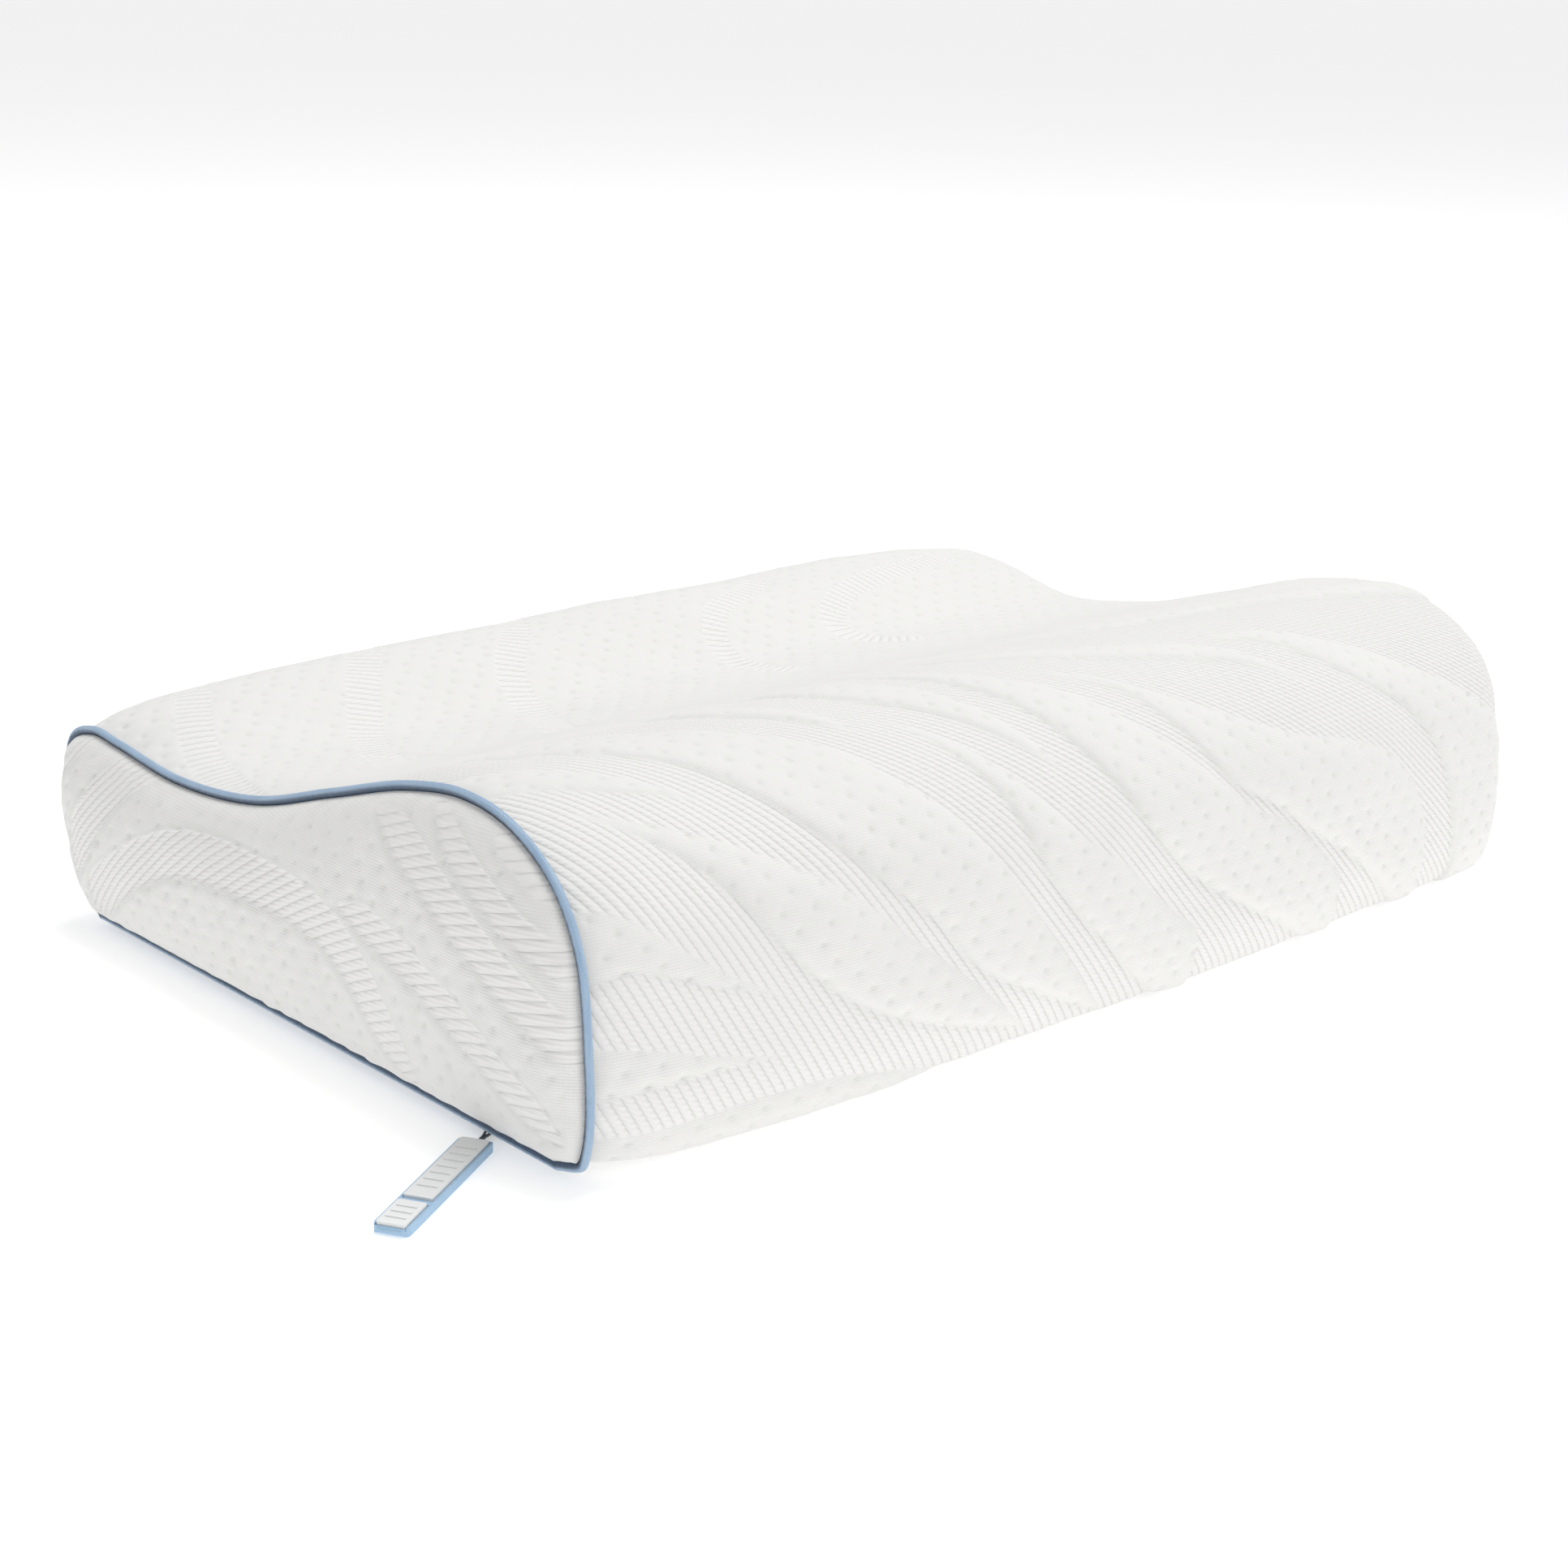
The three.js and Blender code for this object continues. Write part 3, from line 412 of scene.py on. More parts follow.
def plain_dome(name, inset, wall, side):
    """An end panel with an outer and an inner skin: rings up to the spine outside and back inside."""
    seam = RIGHT_SEAM if side > 0 else LEFT_SEAM
    y, z, rise = dome_rings(seam, DOME - inset, 17, inset)
    y2, z2, rise2 = dome_rings(seam, DOME - inset - wall, 17, inset + wall)
    outer = np.stack([seam + side * (HEM_GAP + rise), y, z], -1)
    inner = np.stack([seam + side * (HEM_GAP + rise2), y2, z2], -1)
    rows = np.concatenate([outer[::-1], inner])
    if side < 0:
        rows = rows[::-1]
    grid = np.arange(rows[..., 0].size).reshape(rows.shape[:2])
    grid = np.hstack([grid, grid[:, :1]])
    faces = [quads(grid), *closed_ends(grid)]
    return mesh_object(name, rows.reshape(-1, 3), [face[:, ::-1] for face in faces], sharp=50)


liner = plain_tube("liner_sleeve_jersey", LINER_IN, LINER_WALL)
fit(liner, "liner_sleeve", jersey)
for side, end in ((-1, "left"), (1, "right")):
    cap = plain_dome(f"liner_end_{end}_jersey", LINER_IN, LINER_WALL, side)
    fit(cap, f"liner_end_{end}", jersey)

# ---- quilted cover, wrap panel ----
# One panel of white double-faced knit goes once round the pillow. Leaf-shaped pockets of filled
# knit with tack stitches stand up between lower bands of slanting ribs; the front is the richest.

COVER_WALL = 3.0  # two knitted faces with filling between them
WRAP_ENDS = LEFT_SEAM + HEM_GAP, RIGHT_SEAM - HEM_GAP
FINE = 4  # outer cells for each inner cell, along each side
ZIP_SIDE = -227.7  # the zip opening reaches from the left hem to here
ZIP_Y = -104.3, 160.9

# lens-shaped pockets on the front as (lower edge, upper edge), each (x, distance round the section)
LEAVES = [
    ([(-252, 168), (-235, 160), (-213, 148), (-183, 135)],
     [(-252, 200), (-225, 178), (-205, 158), (-183, 135)]),
    ([(-232, 143), (-213, 124), (-196, 106), (-183, 90), (-163, 67), (-137, 48), (-107, 35), (-56, 20)],
     [(-232, 143), (-206, 129), (-178, 113), (-150, 96), (-117, 70), (-84, 44), (-56, 20)]),
    ([(-226, 222), (-213, 199), (-199, 179), (-180, 156), (-166, 136), (-150, 113), (-130, 93),
      (-107, 74), (-84, 50), (-51, 32), (-18, 14), (4, -4)],
     [(-226, 222), (-195, 213), (-163, 190), (-140, 166), (-117, 146), (-104, 126), (-87, 106),
      (-64, 76), (-44, 50), (-22, 24), (4, -4)]),
    ([(-146, 226), (-137, 208), (-128, 185), (-113, 165), (-98, 150)],
     [(-146, 226), (-122, 212), (-110, 192), (-103, 170), (-98, 150)]),
    ([(-83, 154), (-74, 133), (-64, 110), (-54, 86), (-38, 63), (-18, 44), (2, 24), (25, 4), (34, -4)],
     [(-83, 154), (-64, 131), (-48, 108), (-28, 86), (-8, 73), (15, 53), (38, 37), (68, 20), (98, -4)]),
    ([(-97, 222), (-91, 205), (-87, 189), (-77, 169), (-58, 146), (-38, 122), (-28, 111)],
     [(-97, 222), (-66, 205), (-52, 176), (-43, 152), (-35, 130), (-28, 111)]),
    ([(-52, 214), (-44, 189), (-34, 162), (-25, 142), (-15, 116), (-1, 93), (15, 73), (41, 53),
      (64, 40), (91, 25), (114, 9), (128, -4)],
     [(-52, 214), (-21, 174), (2, 147), (18, 125), (41, 101), (68, 80), (94, 67), (117, 50),
      (130, 37), (146, 16), (158, -4)]),
    ([(-26, 220), (-17, 208), (2, 185), (28, 169), (48, 159), (74, 149), (101, 137), (128, 118)],
     [(-26, 220), (4, 200), (30, 184), (62, 170), (96, 153), (128, 118)]),
    ([(0, 165), (25, 142), (38, 116), (55, 93), (81, 78), (107, 61), (130, 48), (157, 28), (173, 12),
      (188, -4)],
     [(0, 165), (25, 150), (48, 131), (74, 115), (101, 103), (134, 94), (160, 84), (177, 70),
      (187, 53), (193, 37), (199, 18), (204, -4)]),
    ([(105, 158), (127, 142), (154, 116), (177, 100), (196, 80), (206, 60), (211, 40), (216, 17),
      (220, -4), (252, -8)],
     [(105, 158), (130, 154), (163, 134), (196, 114), (222, 100), (252, 80)]),
    ([(46, 212), (100, 187), (150, 178), (200, 165), (252, 146)],
     [(46, 212), (100, 206), (150, 200), (200, 187), (252, 170)]),
    ([(-252, 78), (-235, 82), (-205, 72), (-173, 61)],
     [(-252, 108), (-235, 102), (-205, 80), (-173, 61)]),
    ([(-252, 40), (-215, 42), (-173, 41)],
     [(-252, 60), (-225, 55), (-200, 47), (-173, 41)]),
    ([(-252, -20), (-70, -20)],
     [(-252, 27), (-200, 27), (-165, 28), (-140, 25), (-110, 18), (-90, 8), (-70, -6)]),
]
# mesh ladders on the valley and the low lobe: (half width, centre line as (distance round, x))
LADDERS = [
    (7.5, [(300, -252), (345, -240), (385, -228), (437, -200), (470, -180), (534, -150)]),
    (7.5, [(300, -192), (341, -176), (388, -150), (427, -124), (470, -100), (534, -66)]),
    (7.0, [(290, -122), (330, -100), (385, -78), (420, -50), (470, -24), (534, 8)]),
    (6.0, [(318, 36), (345, 26), (375, 30), (398, 48), (418, 92), (440, 118), (480, 128), (534, 132)]),
    (6.5, [(330, 122), (352, 100), (372, 98), (390, 118), (402, 160), (412, 210), (420, 252)]),
    (6.0, [(455, 252), (470, 205), (500, 190), (534, 186)]),
]
# soft creases that cross the slope behind the front lobe, as (distance round, x)
CREASES = [
    [(205, -92), (232, -84), (262, -72), (290, -68), (320, -76), (352, -84)],
    [(205, -140), (240, -128), (270, -116), (300, -112), (335, -122)],
    [(208, -26), (240, -14), (268, 0), (292, 5), (318, -6), (350, -22), (388, -48)],
    [(212, 40), (240, 42), (272, 54), (300, 61), (322, 52), (352, 25), (380, 34)],
    [(215, 90), (255, 100), (280, 112), (297, 117), (325, 86), (355, 52)],
    [(225, 160), (265, 176), (292, 186), (308, 190), (330, 152), (345, 117)],
    [(235, -190), (270, -180), (300, -172), (330, -180), (360, -196)],
]
LEAF_HEIGHT = 1.9
LEAF_LOW, LEAF_HIGH = 3.0, 5.0  # how fast a pocket rises from its lower and its upper edge
FOLD_WIDE, FOLD_DEEP = 1.7, 0.25  # groove along a pocket's lower edge
FRONT_ENDS = 200, 250  # distances round the section between which the front's pockets die out
LEFT_CALM = 70.0  # stretch beside the left seam where they lie lower
FAINT = 0.35  # share of their height that they keep at the left seam and behind the front
RIB_STEP = 4.3  # along x
RIB_HEIGHT, RIB_POWER, RIB_LEVEL = 0.42, 0.7, 0.6  # the power makes a rib's back broad
LADDER_STEP = 4.2
LADDER_SINK, LADDER_FADE = 0.4, 14.0
CREASE_WIDE, CREASE_DEEP, CREASE_FADE = 3.0, 0.35, 15.0
TACK_X, TACK_S = 13.6, 6.6  # between tack stitches along a row, and between rows
PIT_WIDE, DISH_WIDE = 1.25, 3.4  # a stitch's narrow pit and the shallow dish round it
PIT_DEEP, DISH_DEEP = 0.6, 0.35
PUCKER_HEIGHT, PUCKER_REACH, PUCKER_STEP = 0.55, 9.0, 13.0  # gathers where the piping is sewn in
BOTTOM_FADE = 22.0  # the relief dies out over the last stretch above the flat bottom


def leaf_edges(first, second, lower, upper):
    """Distance into a leaf from its lower and from its upper edge: the gap along the second direction
    times the cosine of the edge's slope, negative outside, and far outside past its ends."""
    found = []
    for edge, sign in ((lower, 1), (upper, -1)):
        curve = spline(edge, 400)
        order = np.argsort(curve[:, 0], kind="stable")
        at = np.interp(first, curve[order, 0], curve[order, 1])
        slope = (np.interp(first + 2, curve[order, 0], curve[order, 1])
                 - np.interp(first - 2, curve[order, 0], curve[order, 1])) / 4
        found.append(sign * (second - at) / np.sqrt(1 + slope ** 2))
    ends = max(lower[0][0], upper[0][0]), min(lower[-1][0], upper[-1][0])
    past = np.maximum(ends[0] - first, first - ends[1])
    return [np.where(past > 0, np.minimum(d, -past), d) for d in found]


def pockets(first, second, leaves, height):
    """Height, smoothness and folds of all leaves: height * (1 - e^-low) * (1 - e^-high), low and high
    being distances from the edges; a fold lies along the lower edge and fades towards both tips."""
    rise = np.zeros(np.broadcast(first, second).shape)
    plain = np.zeros_like(rise)
    fold = np.zeros_like(rise)
    for lower, upper in leaves:
        low, high = leaf_edges(first, second, lower, upper)
        inside = np.minimum(low, high)
        bulge = (1 - np.exp(-np.maximum(low, 0) / LEAF_LOW)) * (1 - np.exp(-np.maximum(high, 0) / LEAF_HIGH))
        rise = np.maximum(rise, height * bulge)
        plain = np.maximum(plain, smooth_step(inside, -0.6, 0.9))
        near = smooth_step(high, -1, 9) * smooth_step(low, -9, -1)
        fold = np.maximum(fold, np.exp(-(low / FOLD_WIDE) ** 2) * near)
    return rise, plain, fold


def beside(first, second, line):
    """For every point, the distance to the nearest point of a curve, the distance along the curve to
    there, and the curve's whole length. Points over 40 mm outside the curve's box are left far off."""
    curve = spline(line, 160)
    run_along = np.append(0, np.cumsum(np.hypot(*np.diff(curve, axis=0).T)))
    first, second = np.broadcast_arrays(first, second)
    low, high = curve.min(0) - 40, curve.max(0) + 40
    close = (first > low[0]) & (first < high[0]) & (second > low[1]) & (second < high[1])
    spots = np.stack([first[close], second[close]], -1)
    best, along = np.full(len(spots), 1e3), np.zeros(len(spots))
    for k in range(len(curve) - 1):
        span = curve[k + 1] - curve[k]
        t = np.clip((spots - curve[k]) @ span / (span @ span), 0, 1)
        gap = np.hypot(*(spots - curve[k] - t[:, None] * span).T)
        nearer = gap < best
        best = np.where(nearer, gap, best)
        along = np.where(nearer, run_along[k] + t * (run_along[k + 1] - run_along[k]), along)
    off, run_at = np.full(first.shape, 1e3), np.zeros(first.shape)
    off[close], run_at[close] = best, along
    return off, run_at, run_along[-1]


def line_groove(first, second, line, width, fade):
    """1 in the middle of a curve, falling as e^-(d / width)^2 to both sides and fading at both ends."""
    off, run_at, whole = beside(first, second, line)
    return np.exp(-(off / width) ** 2) * smooth_step(run_at, 0, fade) * smooth_step(whole - run_at, 0, fade)


def tacks(first, second, step_first, step_second):
    """Tack stitches in staggered rows: a narrow pit and a wide dish, each e^-(d / width)^2."""
    row = np.floor(second / step_second)
    shift = 0.5 * (row % 2) + 0.09 * np.sin(row * 2.7)
    across = (first / step_first + shift) % 1 - 0.5
    along = second / step_second - row - 0.5
    off = (across * step_first) ** 2 + (along * step_second) ** 2 * 1.3
    return np.exp(-off / PIT_WIDE ** 2), np.exp(-off / DISH_WIDE ** 2)


def ripples(first, second, seed, span):
    """Slow irregular undulation, between -1 and 1: nine plane waves of random direction and phase."""
    draw = np.random.default_rng(seed)
    total = 0
    for _ in range(9):
        turn, phase, size = draw.uniform(0, np.pi), draw.uniform(0, 2 * np.pi), draw.uniform(0.7, 1.6)
        total = total + np.sin((first * np.cos(turn) + second * np.sin(turn)) * 6.28 / (span * size) + phase)
    return total / 4.5


def out_along_normal(surface, height):
    """Moves a grid of points by height along the grid's own normal, the cross of its two tangents."""
    along, across = np.gradient(surface, axis=0), np.gradient(surface, axis=1)
    normal = np.cross(along, across)
    normal /= np.maximum(np.linalg.norm(normal, axis=-1, keepdims=True), 1e-9)
    return surface + normal * height[..., None]


def finer(lines):
    """FINE - 1 more lines put evenly between each two."""
    steps = np.arange((len(lines) - 1) * FINE + 1) / FINE
    return np.interp(steps, np.arange(len(lines)), lines)


def shell(outer, inner, keep, wraps):
    """Polygons of a padded cloth: fine outer cells, coarse inner cells, and a wall wherever the kept
    cells end. wraps says that the second direction closes on itself. Point numbers count the outer
    grid first."""
    top = np.arange(outer[..., 0].size).reshape(outer.shape[:2])
    low = top.size + np.arange(inner[..., 0].size).reshape(inner.shape[:2])
    kept_fine = keep.repeat(FINE, 0).repeat(FINE, 1)
    faces = [quads(top)[kept_fine.ravel()], quads(low)[keep.ravel()][:, ::-1]]
    for flip, (big, small, kept) in enumerate(((top, low, keep), (top.T, low.T, keep.T))):
        lines = big[::FINE]
        steps = np.arange(kept.shape[1])[:, None] * FINE + np.arange(FINE + 1)
        wall = np.concatenate([lines[:, steps], small[:, 1:, None], small[:, :-1, None]], -1)
        before, after = np.pad(kept, ((1, 0), (0, 0))), np.pad(kept, ((0, 1), (0, 0)))
        if flip and wraps:
            before[0], after[-1] = kept[-1], kept[0]
        starts, stops = wall[after & ~before], wall[before & ~after]
        faces += [starts[:, ::-1], stops] if flip else [starts, stops[:, ::-1]]
    return faces


def joined(outer_values, inner_values, width):
    """Values of the outer grid's points and then of the inner grid's, width numbers for each point."""
    return np.concatenate([outer_values.reshape(-1, width), inner_values.reshape(-1, width)])


coarse_x = np.concatenate([np.linspace(WRAP_ENDS[0], ZIP_SIDE, 7)[:-1], x_lines(ZIP_SIDE, 117, HEM_GAP, 10)])
zip_s = [OVER + upper_line[-1, 0] - y for y in ZIP_Y[::-1]]
coarse_s = np.concatenate([np.linspace(0, OVER, 135)[:-1], [OVER], np.linspace(*zip_s, 45),
                           np.linspace(zip_s[1], AROUND, 6)[1:]])
x, s = finer(coarse_x), finer(coarse_s)
X, S = x[:, None], s[None, :]
skin = body(x, s)

rise, plain, fold = pockets(X, S, LEAVES, LEAF_HEIGHT)
# the line where the pockets die out runs lower towards the right end
front_zone = 1 - smooth_step(S + 0.05 * X + 0.1 * np.maximum(X, 0), *FRONT_ENDS)
near_left = FAINT + (1 - FAINT) * smooth_step(X - LEFT_SEAM, 0, LEFT_CALM)
rise = rise * (FAINT + (1 - FAINT) * front_zone) * near_left
fold = fold * front_zone * near_left
plain = np.maximum(plain, 1 - front_zone)

# the ribs slant more towards the right and towards the crest
along_x = (X + 200) / 350
along_s = np.maximum(S, 0) / 170
lean = 0.6 + 0.25 * along_x + 0.15 * along_s / 2 + 0.9 * along_x * along_s / 2
rib_count = (X + lean * S) / RIB_STEP
for half_width, line in LADDERS:
    off, run_at, whole = beside(S, X, line)
    ends = smooth_step(run_at, 0, LADDER_FADE) * smooth_step(whole - run_at, 0, LADDER_FADE)
    in_band = (1 - smooth_step(off, half_width - 0.7, half_width)) * ends
    rib_count = np.where(off < half_width + 1.5, run_at / LADDER_STEP, rib_count)
    plain = np.minimum(plain, 1 - in_band)
    rise = rise - LADDER_SINK * in_band
crease_depth = np.zeros_like(rise)
for line in CREASES:
    crease_depth = np.maximum(crease_depth, line_groove(S, X, line, CREASE_WIDE, CREASE_FADE))

on_top = 1 - smooth_step(S, OVER - BOTTOM_FADE, OVER + 2)
edge_near = np.minimum(X - LEFT_SEAM, RIGHT_SEAM - X)
quiet = smooth_step(edge_near, 1, 9) * on_top
pit, dish = tacks(X + 0.12 * S, S, TACK_X, TACK_S)
# tack stitches lie in the plain knit, but not on the slope behind the front lobe
tack_zone = smooth_step(plain, 0.8, 1.0) * quiet
slope_zone = smooth_step(S, 225, 245) * (1 - smooth_step(S, 290, 330))
tack_zone = tack_zone * (1 - slope_zone) * (0.75 + 0.25 * ripples(X, S, 5, 40))
ribs = np.abs(np.sin(np.pi * rib_count)) ** RIB_POWER - RIB_LEVEL

bare = (1 - plain) * quiet
height = (rise - FOLD_DEEP * fold) * quiet + RIB_HEIGHT * ribs * bare - CREASE_DEEP * crease_depth * on_top
height = height - (PIT_DEEP * pit + DISH_DEEP * dish) * tack_zone
height = height + (0.55 * ripples(X, S, 11, 90) + 0.25 * ripples(X, S, 12, 34)) * on_top
# puckers beside the piping are drawn out along x, and the whole relief sinks by a third of a pocket
pucker = np.exp(-(edge_near / PUCKER_REACH) ** 2) * ripples(X * 0.2, S, 21, PUCKER_STEP) * on_top
height = height + PUCKER_HEIGHT * pucker - LEAF_HEIGHT * 0.35 * on_top
skin = out_along_normal(skin, height)
skin[..., 0] = np.clip(skin[..., 0], *WRAP_ENDS)
skin[[0, -1], :, 0] = np.array(WRAP_ENDS)[:, None]
skin[..., 2] = np.maximum(skin[..., 2], 0.0)
skin[:, -1] = skin[:, 0]
lining = body(coarse_x, coarse_s, COVER_WALL)
lining[:, -1] = lining[:, 0]

# no cells over the zip opening, which lies along the left hem underneath
in_zip = (coarse_s[1:] > zip_s[0] + 0.5) & (coarse_s[1:] < zip_s[1] + 0.5)
keep = ~((coarse_x[1:, None] < ZIP_SIDE + 0.5) & in_zip)
faces = shell(skin, lining, keep, wraps=True)
many, few = skin[..., 0].size, lining[..., 0].size
weld = np.arange(many + few)
top_weld, low_weld = weld[:many].reshape(skin.shape[:2]), weld[many:].reshape(lining.shape[:2])
top_weld[:, -1], low_weld[:, -1] = top_weld[:, 0], low_weld[:, 0]

fine_places = np.stack(np.meshgrid(x, s, indexing="ij"), -1) * MM
coarse_places = np.stack(np.meshgrid(coarse_x, coarse_s, indexing="ij"), -1) * MM
wrap_maps = {"cloth": joined(fine_places, coarse_places, 2),
             "ribs": joined(np.stack([rib_count, plain], -1), np.tile([0.0, 1.0], few), 2)}
# the fold spot is painted shade for the knit's colour: darker along the pockets' folds and the creases
wrap_spots = {"tack": joined(pit * tack_zone, np.zeros(few), 1),
              "fold": joined(np.clip(fold * quiet + 0.25 * crease_depth, 0, 1), np.zeros(few), 1)}

# white polyester and viscose double knit: matt, softly fuzzy, with crisp ribs in the low bands
knit, tree = material("quilted_double_knit")
cloth_place = add(tree, "UVMap", uv_map="cloth")
rib_place = add(tree, "UVMap", uv_map="ribs")
place_x = add(tree, "SeparateXYZ", {0: cloth_place})
place_s = add(tree, "SeparateXYZ", {0: cloth_place}, out=1)
rib_turn = add(tree, "SeparateXYZ", {0: rib_place})
is_plain = add(tree, "SeparateXYZ", {0: rib_place}, out=1)
# ribs: round backs with a narrow valley at each whole number
half_turn = add(tree, "Math", {0: rib_turn, 1: np.pi}, operation="MULTIPLY")
wave = add(tree, "Math", {0: half_turn}, operation="SINE")
back = add(tree, "Math", {0: wave}, operation="ABSOLUTE")
rib_back = add(tree, "Math", {0: back, 1: 0.6}, operation="POWER")
# each rib is a chain of slanting stitches, 2.4 mm long
rib_number = add(tree, "Math", {0: rib_turn}, operation="FLOOR")
stagger = add(tree, "Math", {0: rib_number, 1: 2.4}, operation="MULTIPLY")
bead_run = add(tree, "Math", {0: place_s, 1: 2 * np.pi / 0.0024, 2: stagger}, operation="MULTIPLY_ADD")
slant = add(tree, "Math", {0: rib_turn, 1: 4.0, 2: bead_run}, operation="MULTIPLY_ADD")
bead = add(tree, "Math", {0: slant}, operation="SINE")
chain = add(tree, "Math", {0: bead, 1: 0.16, 2: rib_back}, operation="MULTIPLY_ADD")
# plain face: courses 1.05 mm and wales 1.25 mm apart, drawn a little coarse so that they show
course_turn = add(tree, "Math", {0: place_s, 1: 2 * np.pi / 0.00105}, operation="MULTIPLY")
course = add(tree, "Math", {0: course_turn}, operation="SINE")
wale_turn = add(tree, "Math", {0: place_x, 1: 2 * np.pi / 0.00125}, operation="MULTIPLY")
wale = add(tree, "Math", {0: wale_turn}, operation="SINE")
loop = add(tree, "Math", {0: course, 1: wale}, operation="MULTIPLY")
face = add(tree, "Math", {0: loop, 1: 0.5, 2: course}, operation="MULTIPLY_ADD")
face_low = add(tree, "Math", {0: face, 1: 0.1, 2: 0.55}, operation="MULTIPLY_ADD")
fuzz = add(tree, "TexNoise", {"Vector": cloth_place, "Scale": 700.0, "Detail": 3.0})
weave = add(tree, "Mix", {"Factor": is_plain, "A": chain, "B": face_low})
fuzzy = add(tree, "Math", {0: fuzz, 1: 0.25, 2: weave}, operation="MULTIPLY_ADD")
tack_spot = add(tree, "Attribute", attribute_name="tack", out=2)
tacked = add(tree, "Math", {0: tack_spot, 1: -0.5, 2: fuzzy}, operation="MULTIPLY_ADD")
relief = add(tree, "Bump", {"Height": tacked, "Distance": 0.0005, "Strength": 0.6})
# yarn: near white, with painted shade darkening it in the rib valleys, the folds and creases, and the tack
# stitches
painted_fold_shade = add(tree, "Attribute", attribute_name="fold", out=2)
valley = add(tree, "MapRange", {
    "Value": weave, "From Min": 0.0, "From Max": 0.75, "To Min": 1.0, "To Max": 0.0})
wear_and_painted_shade = add(tree, "Math", {0: painted_fold_shade, 1: 0.35, 2: valley}, operation="MULTIPLY_ADD")
painted_shade_mask = add(tree, "Math", {0: tack_spot, 1: 0.6, 2: wear_and_painted_shade}, operation="MULTIPLY_ADD", use_clamp=True)
patch = add(tree, "TexNoise", {"Vector": cloth_place, "Scale": 14.0, "Detail": 3.0})
yarn = add(tree, "MixRGB", {"Fac": patch, "Color1": linear("#ECEBE9"), "Color2": linear("#F1F0EE")})
# painted shade: the colour is mixed towards a darker grey by that mask
shaded = add(tree, "MixRGB", {"Fac": painted_shade_mask, "Color1": yarn, "Color2": linear("#E0E0DD")})
cloth = add(tree, "BsdfPrincipled", {
    "Base Color": shaded, "Roughness": 0.88, "Specular IOR Level": 0.15, "Normal": relief,
    "Sheen Weight": 0.12, "Sheen Roughness": 0.6})
add(tree, "OutputMaterial", {"Surface": cloth})

points = joined(skin, lining, 3)
wrap = mesh_object("cover_wrap_quilted", points, faces, wrap_maps, wrap_spots, weld, sharp=70)
fit(wrap, "cover_wrap_panel", knit)

# ---- quilted cover, end panels ----
# Each end is a panel of the same knit, cut to the pillow's outline and domed by the foam behind it.
# Bands of short ribs sweep over it, level at the front and steeper towards the back, with plain
# tacked knit between them.

# bands of short ribs, as (half width, centre line of (y, z)); the rest is plain tacked knit
END_BANDS = [
    (9.0, [(150, 12), (138, 24), (120, 36), (100, 47), (78, 55), (52, 59), (24, 60), (-2, 60), (-26, 55),
           (-44, 42), (-56, 26), (-66, 10)]),
    (6.5, [(-34, 66), (-52, 64), (-72, 58), (-92, 49), (-112, 39), (-130, 28), (-146, 16)]),
    (9.0, [(98, 90), (112, 82), (128, 70), (142, 56), (154, 40), (160, 26)]),
    (3.5, [(170, 64), (163, 74), (152, 83), (140, 89)]),
    (7.5, [(-50, 104), (-68, 97), (-88, 87), (-108, 76), (-128, 65), (-146, 54), (-160, 44)]),
    (5.5, [(-80, 115), (-93, 104), (-108, 95), (-126, 86), (-146, 77), (-160, 68)]),
    (3.6, [(-108, 118), (-117, 109), (-130, 102), (-146, 93)]),
]
# shallow upright wrinkles of the front half, as (z, y)
END_CREASES = [
    [(24, -78), (40, -77), (70, -76), (84, -78)], [(66, -48), (76, -45), (90, -47)],
    [(12, -96), (38, -93), (64, -96)], [(20, -22), (45, -17), (62, -19)],
    [(30, -118), (52, -112), (76, -108)], [(18, 40), (36, 43), (47, 50)],
]
END_RIB_STEP = 3.6
END_RIB_HEIGHT = 0.32
END_RISE = 0.9  # plain ground above the bands
END_FOLD_WIDE, END_FOLD_DEEP = 1.4, 0.3
END_CREASE_WIDE, END_CREASE_DEEP, END_CREASE_FADE = 2.4, 0.5, 9.0
END_TACK_Y, END_TACK_Z = 13.4, 6.4
END_PIT_DEEP, END_DISH_DEEP = 0.55, 0.4
PATCH_CORNERS = 96.0, 448.0  # where the upper corners of an end patch lie on the outline


def side_lines(a, b, share):
    """Lines along the outline from a to b, closer together near both ends."""
    eased = 0.7 * share + 0.3 * (1 - np.cos(np.pi * share)) / 2
    return a + (b - a) * eased


def patch_grid(along, up, seam, inset):
    """A four-sided patch over the end: the outline cut at four places into sides, and every inside
    point blended from the two pairs of sides less the four corners."""
    def side(a, b, share):
        return body(np.array([seam]), side_lines(a, b, share), inset)[0, :, 1:]

    bottom = side(AROUND, OVER, along)[:, None]
    over = side(*PATCH_CORNERS, along)[:, None]
    front_side = side(0.0, PATCH_CORNERS[0], up)[None]
    rear_side = side(OVER, PATCH_CORNERS[1], up)[None]
    u, v = along[:, None, None], up[None, :, None]
    corners = ((1 - u) * (1 - v) * bottom[0, 0] + u * (1 - v) * bottom[-1, 0]
               + (1 - u) * v * over[0, 0] + u * v * over[-1, 0])
    return (1 - v) * bottom + v * over + (1 - u) * front_side + u * rear_side - corners


